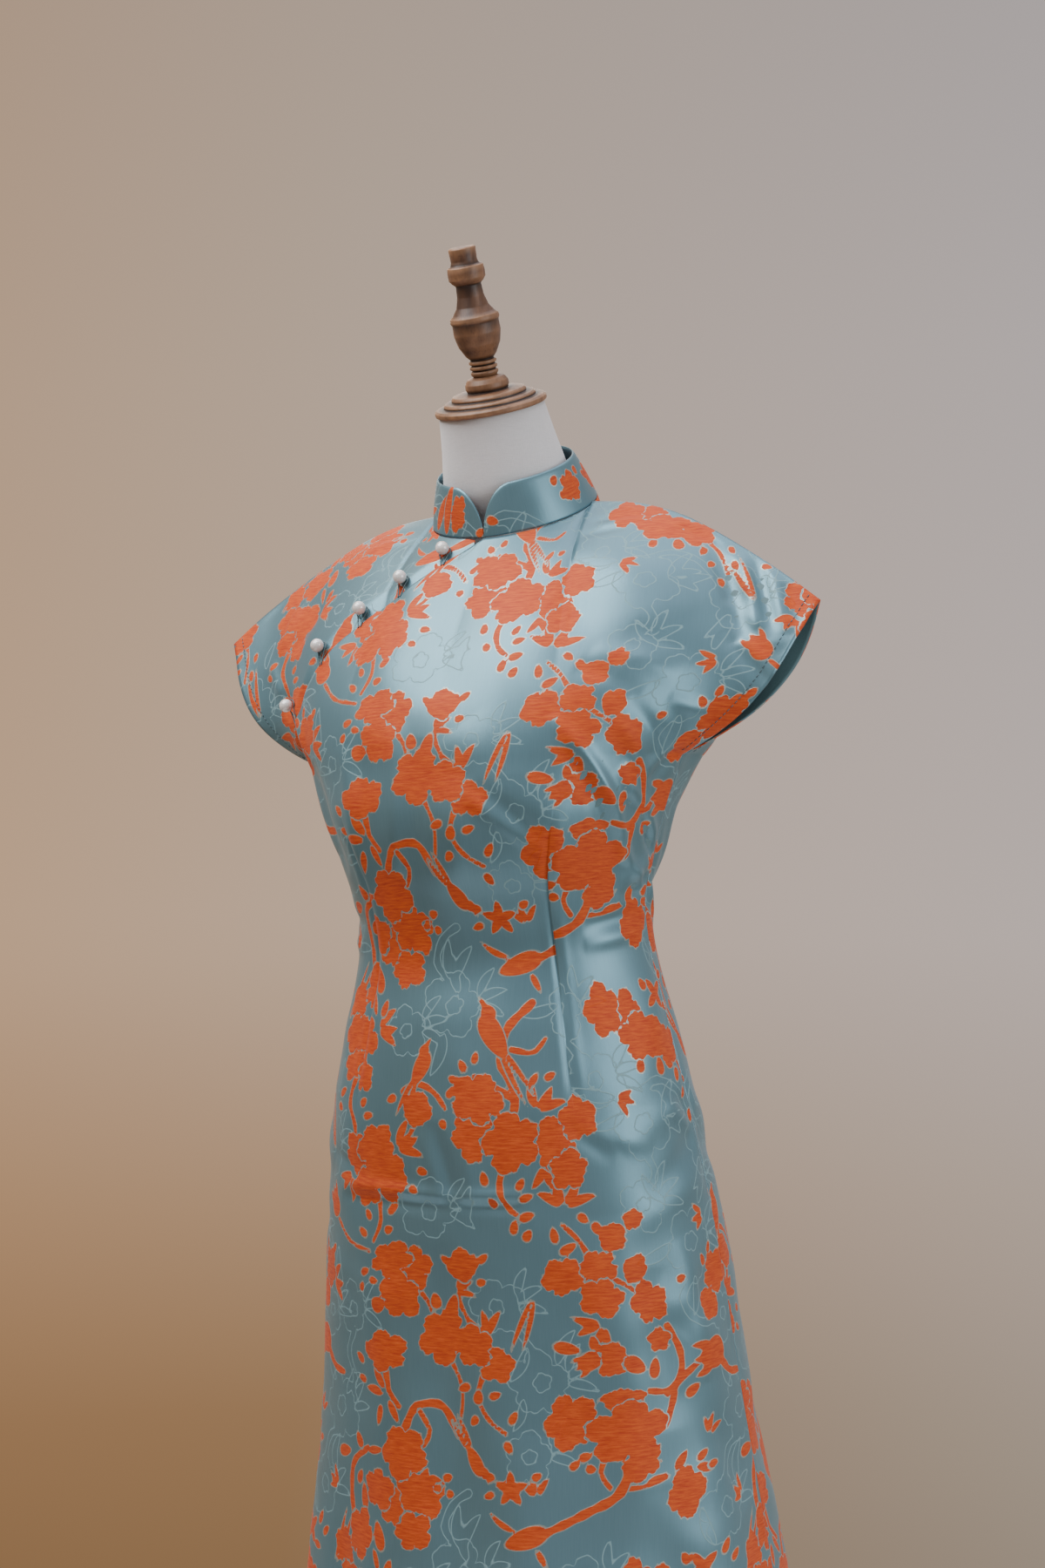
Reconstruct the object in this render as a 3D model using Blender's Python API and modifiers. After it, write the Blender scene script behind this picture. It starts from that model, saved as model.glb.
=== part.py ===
"""A fitted cheongsam on a limbless dress form with a turned wooden neck cap, pole and base.

Metres. +Z is up, the front faces -Y and the wearer's left is +X. The floor is z = 0.
The cloth is lofted: rings of named sections up to the underarm, and above it columns that
curve up and over to the collar seam and the shoulder line.
"""

import math
from collections import namedtuple

import bmesh
import bpy
import numpy as np

CLOTH = 0.0012  # one layer of satin with its backing
SEAM = 0.0004  # gap between two pieces at a seam
SIDE_SEAM = 0.0010  # the same at the sides, on the outer face: the inner edges come closer
SHOULDER_GAP = 0.0029  # how far short of the shoulder seam a panel stops, as a share of the yoke
HEM_Z = 0.340
UNDERARM_Z = 1.165
SLIT_TOP_Z = 0.500  # side vents, from here to the hem
SLIT_GAPE = 0.010  # width of a vent at the hem

# The dress in plan: half of a wide oval to the front of the side seams and half behind them.
Section = namedtuple("Section", "z half_width centre front back square")
DRESS = (
    Section(0.340, 0.2220, 0.0093, 0.1800, 0.162, 0.00),
    Section(0.550, 0.1900, 0.014, 0.1520, 0.142, 0.01),
    Section(0.690, 0.1720, 0.006, 0.1360, 0.130, 0.02),
    Section(0.760, 0.1665, -0.003, 0.1280, 0.124, 0.03),
    Section(0.830, 0.1585, -0.012, 0.1210, 0.114, 0.03),
    Section(0.900, 0.1475, -0.021, 0.1140, 0.104, 0.03),
    Section(0.960, 0.1350, -0.024, 0.1040, 0.096, 0.02),
    Section(1.020, 0.1230, -0.028, 0.0910, 0.087, 0.01),
    Section(1.055, 0.1220, -0.031, 0.0980, 0.083, 0.02),
    Section(1.090, 0.1290, -0.028, 0.1150, 0.084, 0.03),
    Section(1.125, 0.1390, -0.026, 0.1230, 0.092, 0.05),
    Section(1.165, 0.1550, -0.028, 0.1180, 0.098, 0.03),
)

# Soft folds: angle round from centre front (degrees, + to the wearer's left), width (degrees),
# height, and the heights at which each begins and is full.
Fold = namedtuple("Fold", "angle width height start full")
FOLDS = (
    Fold(-58, 15, 0.009, 0.80, 0.36),
    Fold(-18, 13, 0.006, 0.76, 0.36),
    Fold(22, 12, 0.007, 0.72, 0.36),
    Fold(60, 14, 0.010, 0.84, 0.40),
    Fold(118, 15, 0.010, 0.80, 0.36),
    Fold(158, 13, 0.008, 0.74, 0.36),
    Fold(204, 14, 0.009, 0.76, 0.36),
    Fold(246, 14, 0.009, 0.82, 0.38),
    Fold(116, 13, 0.014, 1.11, 1.17),
    Fold(244, 13, 0.006, 1.11, 1.17),
)

# The collar seam is an oval that tips down to the front.
NECK_Y = 0.013
NECK_Z = 1.372
NECK_HALF_WIDTH = 0.069
NECK_HALF_DEPTH = 0.066
NECK_TILT = math.radians(25.5)
NECK_U = 0.36  # share of the upper edge that lies on the collar seam

COLLAR_HEIGHT = 0.038
COLLAR_LEAN = 0.17  # how much narrower the top edge is, as a share
COLLAR_ROUND = 0.030  # length of each rounded front end
COLLAR_CLOTH = 0.0020

Point = namedtuple("Point", "x y z")
SHOULDER = (
    Point(0.069, 0.013, 1.374),
    Point(0.105, 0.016, 1.370),
    Point(0.140, 0.016, 1.359),
    Point(0.172, 0.012, 1.342),
    Point(0.205, 0.006, 1.321),
    Point(0.235, 0.001, 1.300),
    Point(0.262, -0.002, 1.279),
)

# How the cloth reaches the upper edge: share of the way out, direction, and how hard it curves.
Arrive = namedtuple("Arrive", "u x y z pull")
FRONT_ARRIVES = (
    Arrive(0.00, 0.0, 0.50, 0.80, 0.20),
    Arrive(0.36, 0.0, 0.80, 0.50, 0.20),
    Arrive(0.60, 0.0, 0.90, 0.50, 0.17),
    Arrive(0.80, 0.1, 0.60, 0.80, 0.14),
    Arrive(1.00, 0.5, 0.30, 0.80, 0.12),
)
BACK_ARRIVES = (
    Arrive(0.00, 0.0, -0.45, 0.85, 0.20),
    Arrive(0.36, 0.0, -0.75, 0.60, 0.20),
    Arrive(0.60, 0.0, -0.85, 0.50, 0.17),
    Arrive(0.80, 0.1, -0.60, 0.80, 0.14),
    Arrive(1.00, 0.5, -0.40, 0.80, 0.12),
)
SLEEVE_FLARE = 0.19  # how far the sleeve's edge swings out before it rises
SLEEVE_DROP = 0.05
SLEEVE_BOW_FRONT = -0.010
SLEEVE_BOW_BACK = 0.014

# The slanting opening across the wearer's right chest: share of the way out, share of the way up.
Cut = namedtuple("Cut", "u w")
CUT = (
    Cut(-1.00, 0.020),
    Cut(-0.90, 0.060),
    Cut(-0.80, 0.120),
    Cut(-0.70, 0.205),
    Cut(-0.60, 0.305),
    Cut(-0.50, 0.395),
    Cut(-0.40, 0.475),
    Cut(-0.30, 0.575),
    Cut(-0.20, 0.700),
    Cut(-0.10, 0.865),
    Cut(0.00, 1.000),
)
UNDERLAP = 0.055
TUCK = 0.0030  # how far the small front sinks to pass under the outer front
PEARLS = (
    Cut(-0.110, 0.912),
    Cut(-0.250, 0.692),
    Cut(-0.412, 0.510),
    Cut(-0.542, 0.413),
    Cut(-0.725, 0.285),
)
PEARL_RADIUS = 0.0055

# The form, as ovals that tip forward up the neck.
Oval = namedtuple("Oval", "z centre tilt half_width front back")
FORM = (
    Oval(0.745, -0.002, 0, 0.118, 0.080, 0.080),
    Oval(0.750, -0.002, 0, 0.138, 0.098, 0.096),
    Oval(0.765, -0.003, 0, 0.148, 0.108, 0.106),
    Oval(0.800, -0.008, 0, 0.150, 0.112, 0.107),
    Oval(0.840, -0.013, 0, 0.147, 0.111, 0.104),
    Oval(0.900, -0.021, 0, 0.138, 0.104, 0.094),
    Oval(0.960, -0.024, 0, 0.126, 0.094, 0.086),
    Oval(1.020, -0.028, 0, 0.1145, 0.082, 0.078),
    Oval(1.055, -0.031, 0, 0.1145, 0.088, 0.074),
    Oval(1.090, -0.028, 0, 0.121, 0.105, 0.075),
    Oval(1.125, -0.026, 0, 0.131, 0.114, 0.083),
    Oval(1.165, -0.026, 0, 0.143, 0.113, 0.087),
    Oval(1.185, -0.020, 0, 0.146, 0.111, 0.083),
    Oval(1.205, -0.014, 0, 0.148, 0.107, 0.079),
    Oval(1.245, -0.004, 0, 0.150, 0.089, 0.068),
    Oval(1.280, 0.003, 0, 0.150, 0.074, 0.058),
    Oval(1.305, 0.007, 0, 0.148, 0.060, 0.046),
    Oval(1.325, 0.009, 1, 0.143, 0.046, 0.036),
    Oval(1.340, 0.010, 2, 0.131, 0.034, 0.027),
    Oval(1.350, 0.010, 5, 0.104, 0.027, 0.024),
    Oval(1.360, 0.010, 11, 0.072, 0.028, 0.029),
    Oval(1.375, 0.006, 18, 0.0560, 0.038, 0.043),
    Oval(1.395, -0.002, 21, 0.0530, 0.044, 0.047),
    Oval(1.425, -0.015, 21, 0.0470, 0.042, 0.044),
    Oval(1.450, -0.026, 21, 0.0430, 0.041, 0.041),
)
CAP_TILT = math.radians(21)

# Turned shapes: radius and height along the axis, from the top down.
Turn = namedtuple("Turn", "radius height")
CAP = (
    Turn(0.0000, 0.0265),
    Turn(0.0105, 0.0265),
    Turn(0.0150, 0.0250),
    Turn(0.0175, 0.0215),
    Turn(0.0178, 0.0180),
    Turn(0.0165, 0.0150),
    Turn(0.0290, 0.0138),
    Turn(0.0305, 0.0120),
    Turn(0.0305, 0.0100),
    Turn(0.0360, 0.0094),
    Turn(0.0375, 0.0080),
    Turn(0.0375, 0.0062),
    Turn(0.0435, 0.0056),
    Turn(0.0455, 0.0040),
    Turn(0.0455, 0.0012),
    Turn(0.0440, 0.0000),
    Turn(0.0000, 0.0000),
)
FINIAL = (
    Turn(0.0000, 0.1285),
    Turn(0.0100, 0.1285),
    Turn(0.0110, 0.1275),
    Turn(0.0105, 0.1180),
    Turn(0.0115, 0.1150),
    Turn(0.0145, 0.1135),
    Turn(0.0150, 0.1090),
    Turn(0.0148, 0.1040),
    Turn(0.0125, 0.1010),
    Turn(0.0102, 0.0990),
    Turn(0.0108, 0.0900),
    Turn(0.0130, 0.0820),
    Turn(0.0165, 0.0770),
    Turn(0.0195, 0.0745),
    Turn(0.0200, 0.0715),
    Turn(0.0188, 0.0690),
    Turn(0.0190, 0.0610),
    Turn(0.0170, 0.0520),
    Turn(0.0125, 0.0435),
    Turn(0.0092, 0.0400),
    Turn(0.0112, 0.0388),
    Turn(0.0112, 0.0370),
    Turn(0.0092, 0.0358),
    Turn(0.0112, 0.0346),
    Turn(0.0112, 0.0328),
    Turn(0.0092, 0.0316),
    Turn(0.0112, 0.0304),
    Turn(0.0112, 0.0286),
    Turn(0.0095, 0.0265),
    Turn(0.0000, 0.0265),
)
POLE_RADIUS = 0.014
BASE = (
    Turn(0.0000, 0.0460),
    Turn(0.0230, 0.0460),
    Turn(0.0265, 0.0430),
    Turn(0.0270, 0.0380),
    Turn(0.0300, 0.0340),
    Turn(0.0480, 0.0315),
    Turn(0.0950, 0.0280),
    Turn(0.1330, 0.0245),
    Turn(0.1400, 0.0215),
    Turn(0.1500, 0.0200),
    Turn(0.1590, 0.0160),
    Turn(0.1600, 0.0110),
    Turn(0.1600, 0.0020),
    Turn(0.1585, 0.0000),
    Turn(0.0000, 0.0000),
)

Finish = namedtuple("Finish", "colour roughness metallic")
FINISHES = {
    "satin_teal": Finish((0.13, 0.26, 0.31), 0.42, 0.0),
    "pearl": Finish((0.86, 0.83, 0.78), 0.18, 0.0),
    "linen_white": Finish((0.72, 0.68, 0.63), 0.90, 0.0),
    "walnut": Finish((0.16, 0.075, 0.040), 0.38, 0.0),
}


def through(xs, ys, x):
    """A smooth curve through the rows of ys at the places xs."""
    xs = np.asarray(xs, float)
    ys = np.asarray(ys, float)
    x = np.clip(np.asarray(x, float), xs[0], xs[-1])
    slopes = np.gradient(ys, xs, axis=0)
    i = np.clip(np.searchsorted(xs, x, side="right") - 1, 0, len(xs) - 2)
    span = xs[i + 1] - xs[i]
    q = (x - xs[i]) / span
    if ys.ndim > 1:
        q = q[..., None]
        span = span[..., None]
    start = (2 * q**3 - 3 * q**2 + 1) * ys[i] + (q**3 - 2 * q**2 + q) * span * slopes[i]
    return start + (3 * q**2 - 2 * q**3) * ys[i + 1] + (q**3 - q**2) * span * slopes[i + 1]


def ring(angle, z):
    """The dress at an angle round from centre front and a height."""
    angle, z = np.broadcast_arrays(np.asarray(angle, float), np.asarray(z, float))
    rows = np.array(DRESS)
    half_width, centre, front, back, square = np.moveaxis(through(rows[:, 0], rows[:, 1:], z), -1, 0)
    depth = np.where(np.cos(angle) > 0, front, back)
    swell = 1 + square * np.sin(2 * angle) ** 2
    out = np.zeros(angle.shape)
    for fold in FOLDS:
        away = (np.degrees(angle) - fold.angle + 180) % 360 - 180
        grown = np.clip((fold.start - z) / (fold.start - fold.full), 0, 1)
        out += fold.height * grown**1.5 * np.exp(-((away / fold.width) ** 2))
    x = (half_width * swell + out) * np.sin(angle)
    y = centre - (depth * swell + out) * np.cos(angle)
    return np.stack([x, y, z], -1)


def neck(angle, shrink=0.0, lift=0.0):
    """The collar seam, or the oval that stands lift above it."""
    x = NECK_HALF_WIDTH * (1 - shrink) * np.sin(angle)
    back = -NECK_HALF_DEPTH * (1 - shrink) * np.cos(angle)
    c = math.cos(NECK_TILT)
    s = math.sin(NECK_TILT)
    return np.stack([x, NECK_Y + back * c - lift * s, NECK_Z + back * s + lift * c], -1)


def upper_edge(m, back):
    """The collar seam, then the shoulder line, from the centre out to the sleeve's tip."""
    turn = np.clip(m / NECK_U, 0, 1) * math.pi / 2
    on_neck = neck(math.pi - turn if back else turn)
    points = np.array(SHOULDER)
    out = np.clip((m - NECK_U) / (1 - NECK_U), 0, 1)
    on_shoulder = through(np.linspace(0, 1, len(points)), points, out)
    return np.where((m <= NECK_U)[..., None], on_neck, on_shoulder)


def yoke(u, w, back):
    """The dress above the underarm: u from -1 to 1 across, w from 0 up to 1 at the upper edge."""
    u, w = np.broadcast_arrays(np.asarray(u, float), np.asarray(w, float))
    m = np.abs(u)
    angle = m * math.pi / 2
    if back:
        angle = math.pi - angle
    low = ring(angle, UNDERARM_Z)
    rise = low - ring(angle, UNDERARM_Z - 0.004)
    high = upper_edge(m, back)
    table = np.array(BACK_ARRIVES if back else FRONT_ARRIVES)
    arrive = through(table[:, 0], table[:, 1:], m)
    leave = rise / np.linalg.norm(rise, axis=-1, keepdims=True)
    leave = leave * np.linalg.norm(high - low, axis=-1, keepdims=True)
    leave[..., 0] += SLEEVE_FLARE * m**5
    leave[..., 2] -= SLEEVE_DROP * m**5
    land = arrive[..., :3] / np.linalg.norm(arrive[..., :3], axis=-1, keepdims=True) * arrive[..., 3:]
    q = w[..., None]
    p = (2 * q**3 - 3 * q**2 + 1) * low + (q**3 - 2 * q**2 + q) * leave
    p += (3 * q**2 - 2 * q**3) * high + (q**3 - q**2) * land
    bow = SLEEVE_BOW_BACK if back else SLEEVE_BOW_FRONT
    p[..., 1] += bow * 4 * w * (1 - w) * np.clip((m - 0.75) / 0.25, 0, 1) ** 2
    p[..., 0] *= np.where(u < 0, -1, 1)
    return p


def outward(grid, back):
    """Unit normals of a grid whose rows run up and whose columns run to the wearer's left."""
    up = np.gradient(grid, axis=0)
    across = np.gradient(grid, axis=1)
    normal = np.cross(across, up)
    normal /= np.maximum(np.linalg.norm(normal, axis=-1, keepdims=True), 1e-9)
    return -normal if back else normal


def mitred(grid, normal, w, seam_normal):
    """Inward steps, one layer thick, that meet those of the other side along the shoulder."""
    share = np.clip((w - 0.86) / 0.14, 0, 1)[..., None] ** 1.5
    step = normal * (1 - share) + seam_normal * share
    step /= np.linalg.norm(step, axis=-1, keepdims=True)
    lean = np.clip((step * normal).sum(-1, keepdims=True), 0.45, 1)
    return grid - step * CLOTH / lean


def seam_normals(u):
    """The direction between the front's and the back's normals along the upper edge."""
    w = np.array([0.990, 0.996, 1.0])[:, None]
    both = outward(yoke(u, w, False), False)[-1] + outward(yoke(u, w, True), True)[-1]
    return both / np.linalg.norm(both, axis=-1, keepdims=True)


def cut_height(u):
    cuts = np.array(CUT)
    return np.where(u < 0, through(cuts[:, 0], cuts[:, 1], u), 1.0)


def new_object(name, mesh, finish, collection):
    mesh.materials.append(finish)
    obj = bpy.data.objects.new(name, mesh)
    collection.objects.link(obj)
    return obj


def shell(name, outer, inner, finish, collection, smooth=True):
    """A closed sheet between two grids of points."""
    rows, columns = outer.shape[:2]
    points = np.concatenate([outer.reshape(-1, 3), inner.reshape(-1, 3)])
    count = rows * columns
    faces = []
    for r in range(rows - 1):
        for c in range(columns - 1):
            a = r * columns + c
            face = (a, a + 1, a + columns + 1, a + columns)
            faces.append(face)
            faces.append(tuple(i + count for i in reversed(face)))
    rim = [c for c in range(columns)]
    rim += [r * columns + columns - 1 for r in range(1, rows)]
    rim += [(rows - 1) * columns + c for c in range(columns - 2, -1, -1)]
    rim += [r * columns for r in range(rows - 2, 0, -1)]
    for a, b in zip(rim, rim[1:] + rim[:1]):
        faces.append((a, a + count, b + count, b))
    mesh = bpy.data.meshes.new(name)
    mesh.from_pydata(points.tolist(), [], faces)
    bm = bmesh.new()
    bm.from_mesh(mesh)
    bmesh.ops.triangulate(bm, faces=bm.faces[:])
    bmesh.ops.recalc_face_normals(bm, faces=bm.faces[:])
    for face in bm.faces:
        face.smooth = smooth
    bm.to_mesh(mesh)
    bm.free()
    return new_object(name, mesh, finish, collection)


def side_gap(z):
    """How far short of the side seam a panel stops, as a share of its half width."""
    vent = SLIT_GAPE * np.clip((SLIT_TOP_Z - z) / (SLIT_TOP_Z - HEM_Z), 0, 1)
    return (SIDE_SEAM / 2 + vent / 2) / (0.155 * math.pi / 2)


def panel_grid(back, across=26, body_rows=19, yoke_rows=11):
    """Outer points of the front or the back, with each point's height up the yoke."""
    u = np.linspace(-1, 1, across + 1)
    z = np.linspace(HEM_Z, UNDERARM_Z, body_rows, endpoint=False)[:, None]
    inset = u * (1 - side_gap(z))
    angle = inset * math.pi / 2
    body = ring(math.pi - angle if back else angle, z)
    inset = u * (1 - side_gap(UNDERARM_Z))
    top = np.ones(u.shape) if back else cut_height(inset)
    w = np.linspace(0, 1, yoke_rows + 1)[:, None] * (top - SHOULDER_GAP)
    upper = yoke(inset, w, back)
    height = np.concatenate([np.zeros(body.shape[:2]), w])
    return np.concatenate([body, upper]), height, inset


def panel(name, back, finish, collection):
    grid, w, u = panel_grid(back)
    inner = mitred(grid, outward(grid, back), w, seam_normals(u))
    return shell(name, grid, inner, finish, collection)


def small_front(finish, collection):
    """The piece under the slanting edge, from the sleeve to the collar on the wearer's right."""
    u = np.linspace(-1, 0, 14) * (1 - side_gap(UNDERARM_Z))
    u[-1] = -0.03
    low = np.maximum(cut_height(u) - UNDERLAP, 0.004)
    w = low + np.linspace(0, 1, 11)[:, None] ** 1.7 * (1 - SHOULDER_GAP - low)
    grid = yoke(u, w, False)
    normal = outward(grid, False)
    over = np.clip((w - cut_height(u)) / 0.08, 0, 1)
    tuck = TUCK * (1 - over**2 * (3 - 2 * over))
    grid = grid - normal * tuck[..., None]
    inner = mitred(grid, normal, w, seam_normals(u))
    return shell("front_small", grid, inner, finish, collection)


def collar(finish, collection):
    """A standing band in one piece, round the neck from centre front to centre front."""
    girth = math.pi * (NECK_HALF_WIDTH + NECK_HALF_DEPTH)
    ends = COLLAR_ROUND * (1 - np.cos(np.linspace(0.16, math.pi / 2, 6)))
    run = np.concatenate([ends, np.linspace(COLLAR_ROUND, girth - COLLAR_ROUND, 27)[1:-1], girth - ends[::-1]])
    short = np.clip(1 - np.minimum(run, girth - run) / COLLAR_ROUND, 0, 1)
    height = COLLAR_HEIGHT * np.sqrt(1 - short**2)
    angle = run / girth * 2 * math.pi
    v = np.linspace(0, 1, 5)[:, None]
    lift = SEAM + v * height
    outer = neck(angle, COLLAR_LEAN * lift / COLLAR_HEIGHT, lift)
    inner = neck(angle, COLLAR_LEAN * lift / COLLAR_HEIGHT + COLLAR_CLOTH / NECK_HALF_WIDTH, lift)
    return shell("collar", outer, inner, finish, collection)


def pearl(name, place, finish, collection):
    w = place.w + np.array([-0.004, 0, 0.004])[:, None]
    around = yoke(place.u + np.array([-0.004, 0, 0.004]), w, False)
    centre = around[1, 1] + outward(around, False)[1, 1] * (PEARL_RADIUS + SEAM)
    mesh = bpy.data.meshes.new(name)
    bm = bmesh.new()
    bmesh.ops.create_uvsphere(bm, u_segments=14, v_segments=9, radius=PEARL_RADIUS)
    for face in bm.faces:
        face.smooth = True
    bm.to_mesh(mesh)
    bm.free()
    obj = new_object(name, mesh, finish, collection)
    obj.location = centre
    return obj


def form(finish, collection, segments=40):
    """The padded torso and neck, closed flat below and under the cap."""
    turns = np.linspace(0, 2 * math.pi, segments, endpoint=False)
    rings = []
    for oval in FORM:
        tilt = math.radians(oval.tilt)
        depth = np.where(np.cos(turns) > 0, oval.front, oval.back)
        back = -depth * np.cos(turns)
        x = oval.half_width * np.sin(turns)
        rings.append(np.stack([x, oval.centre + back * math.cos(tilt), oval.z + back * math.sin(tilt)], -1))
    mesh = bpy.data.meshes.new("form_torso")
    faces = []
    for r in range(len(rings) - 1):
        for c in range(segments):
            a = r * segments
            d = (c + 1) % segments
            faces.append((a + c, a + d, a + segments + d, a + segments + c))
    faces.append(tuple(range(segments - 1, -1, -1)))
    last = (len(rings) - 1) * segments
    faces.append(tuple(range(last, last + segments)))
    mesh.from_pydata(np.concatenate(rings).tolist(), [], faces)
    for face in mesh.polygons:
        face.use_smooth = len(face.vertices) == 4
    return new_object("form_torso", mesh, finish, collection)


def turned(name, profile, finish, collection, steps=40):
    """A profile turned about Z with the Screw modifier."""
    mesh = bpy.data.meshes.new(name)
    points = [(t.radius, 0, t.height) for t in profile]
    mesh.from_pydata(points, [(i, i + 1) for i in range(len(points) - 1)], [])
    obj = new_object(name, mesh, finish, collection)
    screw = obj.modifiers.new("Turn", "SCREW")
    screw.axis = "Z"
    screw.steps = steps
    screw.render_steps = steps
    screw.use_merge_vertices = True
    screw.merge_threshold = 0.00001
    screw.use_smooth_shade = True
    return obj


def material(name):
    finish = FINISHES[name]
    made = bpy.data.materials.new(name)
    made.use_nodes = True
    shader = made.node_tree.nodes["Principled BSDF"]
    shader.inputs["Base Color"].default_value = (*finish.colour, 1)
    shader.inputs["Roughness"].default_value = finish.roughness
    shader.inputs["Metallic"].default_value = finish.metallic
    return made


def main():
    for obj in list(bpy.data.objects):
        bpy.data.objects.remove(obj)
    model = bpy.data.collections.new("cheongsam_on_form")
    bpy.context.scene.collection.children.link(model)
    satin = material("satin_teal")
    pearl_finish = material("pearl")
    linen = material("linen_white")
    walnut = material("walnut")

    panel("front_outer", False, satin, model)
    panel("back", True, satin, model)
    small_front(satin, model)
    collar(satin, model)
    for number, place in enumerate(PEARLS, 1):
        pearl(f"button_{number}", place, pearl_finish, model)

    form(linen, model)
    top = FORM[-1]
    for name, profile in (("neck_cap", CAP), ("finial", FINIAL)):
        obj = turned(name, profile, walnut, model)
        obj.location = (0, top.centre, top.z)
        obj.rotation_euler = (CAP_TILT, 0, 0)
    base_top = BASE[0].height
    form_foot = FORM[0].z
    pole = (
        Turn(0.0, form_foot),
        Turn(POLE_RADIUS, form_foot),
        Turn(POLE_RADIUS, base_top),
        Turn(0.0, base_top),
    )
    turned("pole", pole, walnut, model, steps=28)
    turned("base", BASE, walnut, model, steps=56)


main()
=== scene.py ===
"""A fitted cheongsam in teal satin jacquard, worn by a limbless dress form on a turned stand.

Metres throughout. +Z is up, the front faces -Y and the wearer's left is +X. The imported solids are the
frame. Each one is replaced here by a finer surface on the same form, with its cloth, wood or pearl.
"""

import logging
import math
from dataclasses import dataclass, field
from enum import Enum
from typing import NamedTuple

import bpy
import numpy as np
from mathutils import Matrix, Vector


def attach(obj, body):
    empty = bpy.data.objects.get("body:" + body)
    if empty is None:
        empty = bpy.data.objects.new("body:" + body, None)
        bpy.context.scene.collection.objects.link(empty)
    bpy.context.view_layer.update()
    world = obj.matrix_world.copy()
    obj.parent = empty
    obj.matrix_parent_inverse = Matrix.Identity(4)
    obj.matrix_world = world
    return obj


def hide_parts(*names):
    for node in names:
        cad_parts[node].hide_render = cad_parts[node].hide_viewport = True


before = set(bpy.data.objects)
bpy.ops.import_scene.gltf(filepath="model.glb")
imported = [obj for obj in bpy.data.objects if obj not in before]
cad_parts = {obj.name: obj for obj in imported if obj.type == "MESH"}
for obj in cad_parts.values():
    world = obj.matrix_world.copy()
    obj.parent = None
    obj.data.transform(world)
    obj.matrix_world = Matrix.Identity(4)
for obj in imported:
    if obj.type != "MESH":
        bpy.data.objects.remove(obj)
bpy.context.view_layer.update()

log = logging.getLogger("cheongsam")
logging.basicConfig(level=logging.INFO, format="%(name)s: %(message)s")

Array = np.ndarray
Triple = tuple[float, float, float]
Stops = tuple[tuple[float, Triple], ...]
Socket = bpy.types.NodeSocket
Object = bpy.types.Object
Material = bpy.types.Material
LINES = ("flower_lines", "leaf_lines")
LAYERS = ("figure_top", "figure_middle", "figure_low")


# ---------------------------------------------------------------- tables of the form


class Section(NamedTuple):
    """The dress in plan at one height: a wide oval whose halves meet at the side seams."""

    z: float
    half_width: float
    centre: float
    front: float
    back: float
    square: float


class Fold(NamedTuple):
    """A soft fold: angle from centre front and width in degrees, height, where it starts and is full."""

    angle: float
    width: float
    height: float
    start: float
    full: float


class Arrive(NamedTuple):
    """How the cloth reaches the upper edge at a share of the way out: direction and pull."""

    u: float
    x: float
    y: float
    z: float
    pull: float


class Cut(NamedTuple):
    """A place on the yoke: share of the way out and share of the way up."""

    u: float
    w: float


class Crease(NamedTuple):
    """A trough (height below 0) or ridge between two places on the flat cloth, in metres."""

    s0: float
    t0: float
    s1: float
    t1: float
    width: float
    height: float
    bend: float = 0.0


class Oval(NamedTuple):
    """One ring of the form, tipped forward by tilt degrees."""

    z: float
    centre: float
    tilt: float
    half_width: float
    front: float
    back: float


class Turn(NamedTuple):
    """A point of a turned profile."""

    radius: float
    height: float


class Side(Enum):
    """Which half of the dress a panel belongs to."""

    FRONT = "front"
    BACK = "back"


SECTIONS = (
    Section(0.340, 0.2220, 0.0093, 0.1800, 0.162, 0.00),
    Section(0.550, 0.1900, 0.014, 0.1520, 0.142, 0.01),
    Section(0.690, 0.1720, 0.006, 0.1360, 0.130, 0.02),
    Section(0.760, 0.1665, -0.003, 0.1280, 0.124, 0.03),
    Section(0.830, 0.1585, -0.012, 0.1210, 0.114, 0.03),
    Section(0.900, 0.1475, -0.021, 0.1140, 0.104, 0.03),
    Section(0.960, 0.1350, -0.024, 0.1040, 0.096, 0.02),
    Section(1.020, 0.1230, -0.028, 0.0910, 0.087, 0.01),
    Section(1.055, 0.1220, -0.031, 0.0980, 0.083, 0.02),
    Section(1.090, 0.1290, -0.028, 0.1150, 0.084, 0.03),
    Section(1.125, 0.1390, -0.026, 0.1230, 0.092, 0.05),
    Section(1.165, 0.1550, -0.028, 0.1180, 0.098, 0.03),
)
FOLDS = (
    Fold(-58, 15, 0.009, 0.80, 0.36),
    Fold(-18, 13, 0.006, 0.76, 0.36),
    Fold(22, 12, 0.007, 0.72, 0.36),
    Fold(60, 14, 0.010, 0.84, 0.40),
    Fold(118, 15, 0.010, 0.80, 0.36),
    Fold(158, 13, 0.008, 0.74, 0.36),
    Fold(204, 14, 0.009, 0.76, 0.36),
    Fold(246, 14, 0.009, 0.82, 0.38),
    Fold(116, 13, 0.014, 1.11, 1.17),
    Fold(244, 13, 0.006, 1.11, 1.17),
)
SHOULDER = (
    (0.069, 0.013, 1.374),
    (0.105, 0.016, 1.370),
    (0.140, 0.016, 1.359),
    (0.172, 0.012, 1.342),
    (0.205, 0.006, 1.321),
    (0.235, 0.001, 1.300),
    (0.262, -0.002, 1.279),
)
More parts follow.
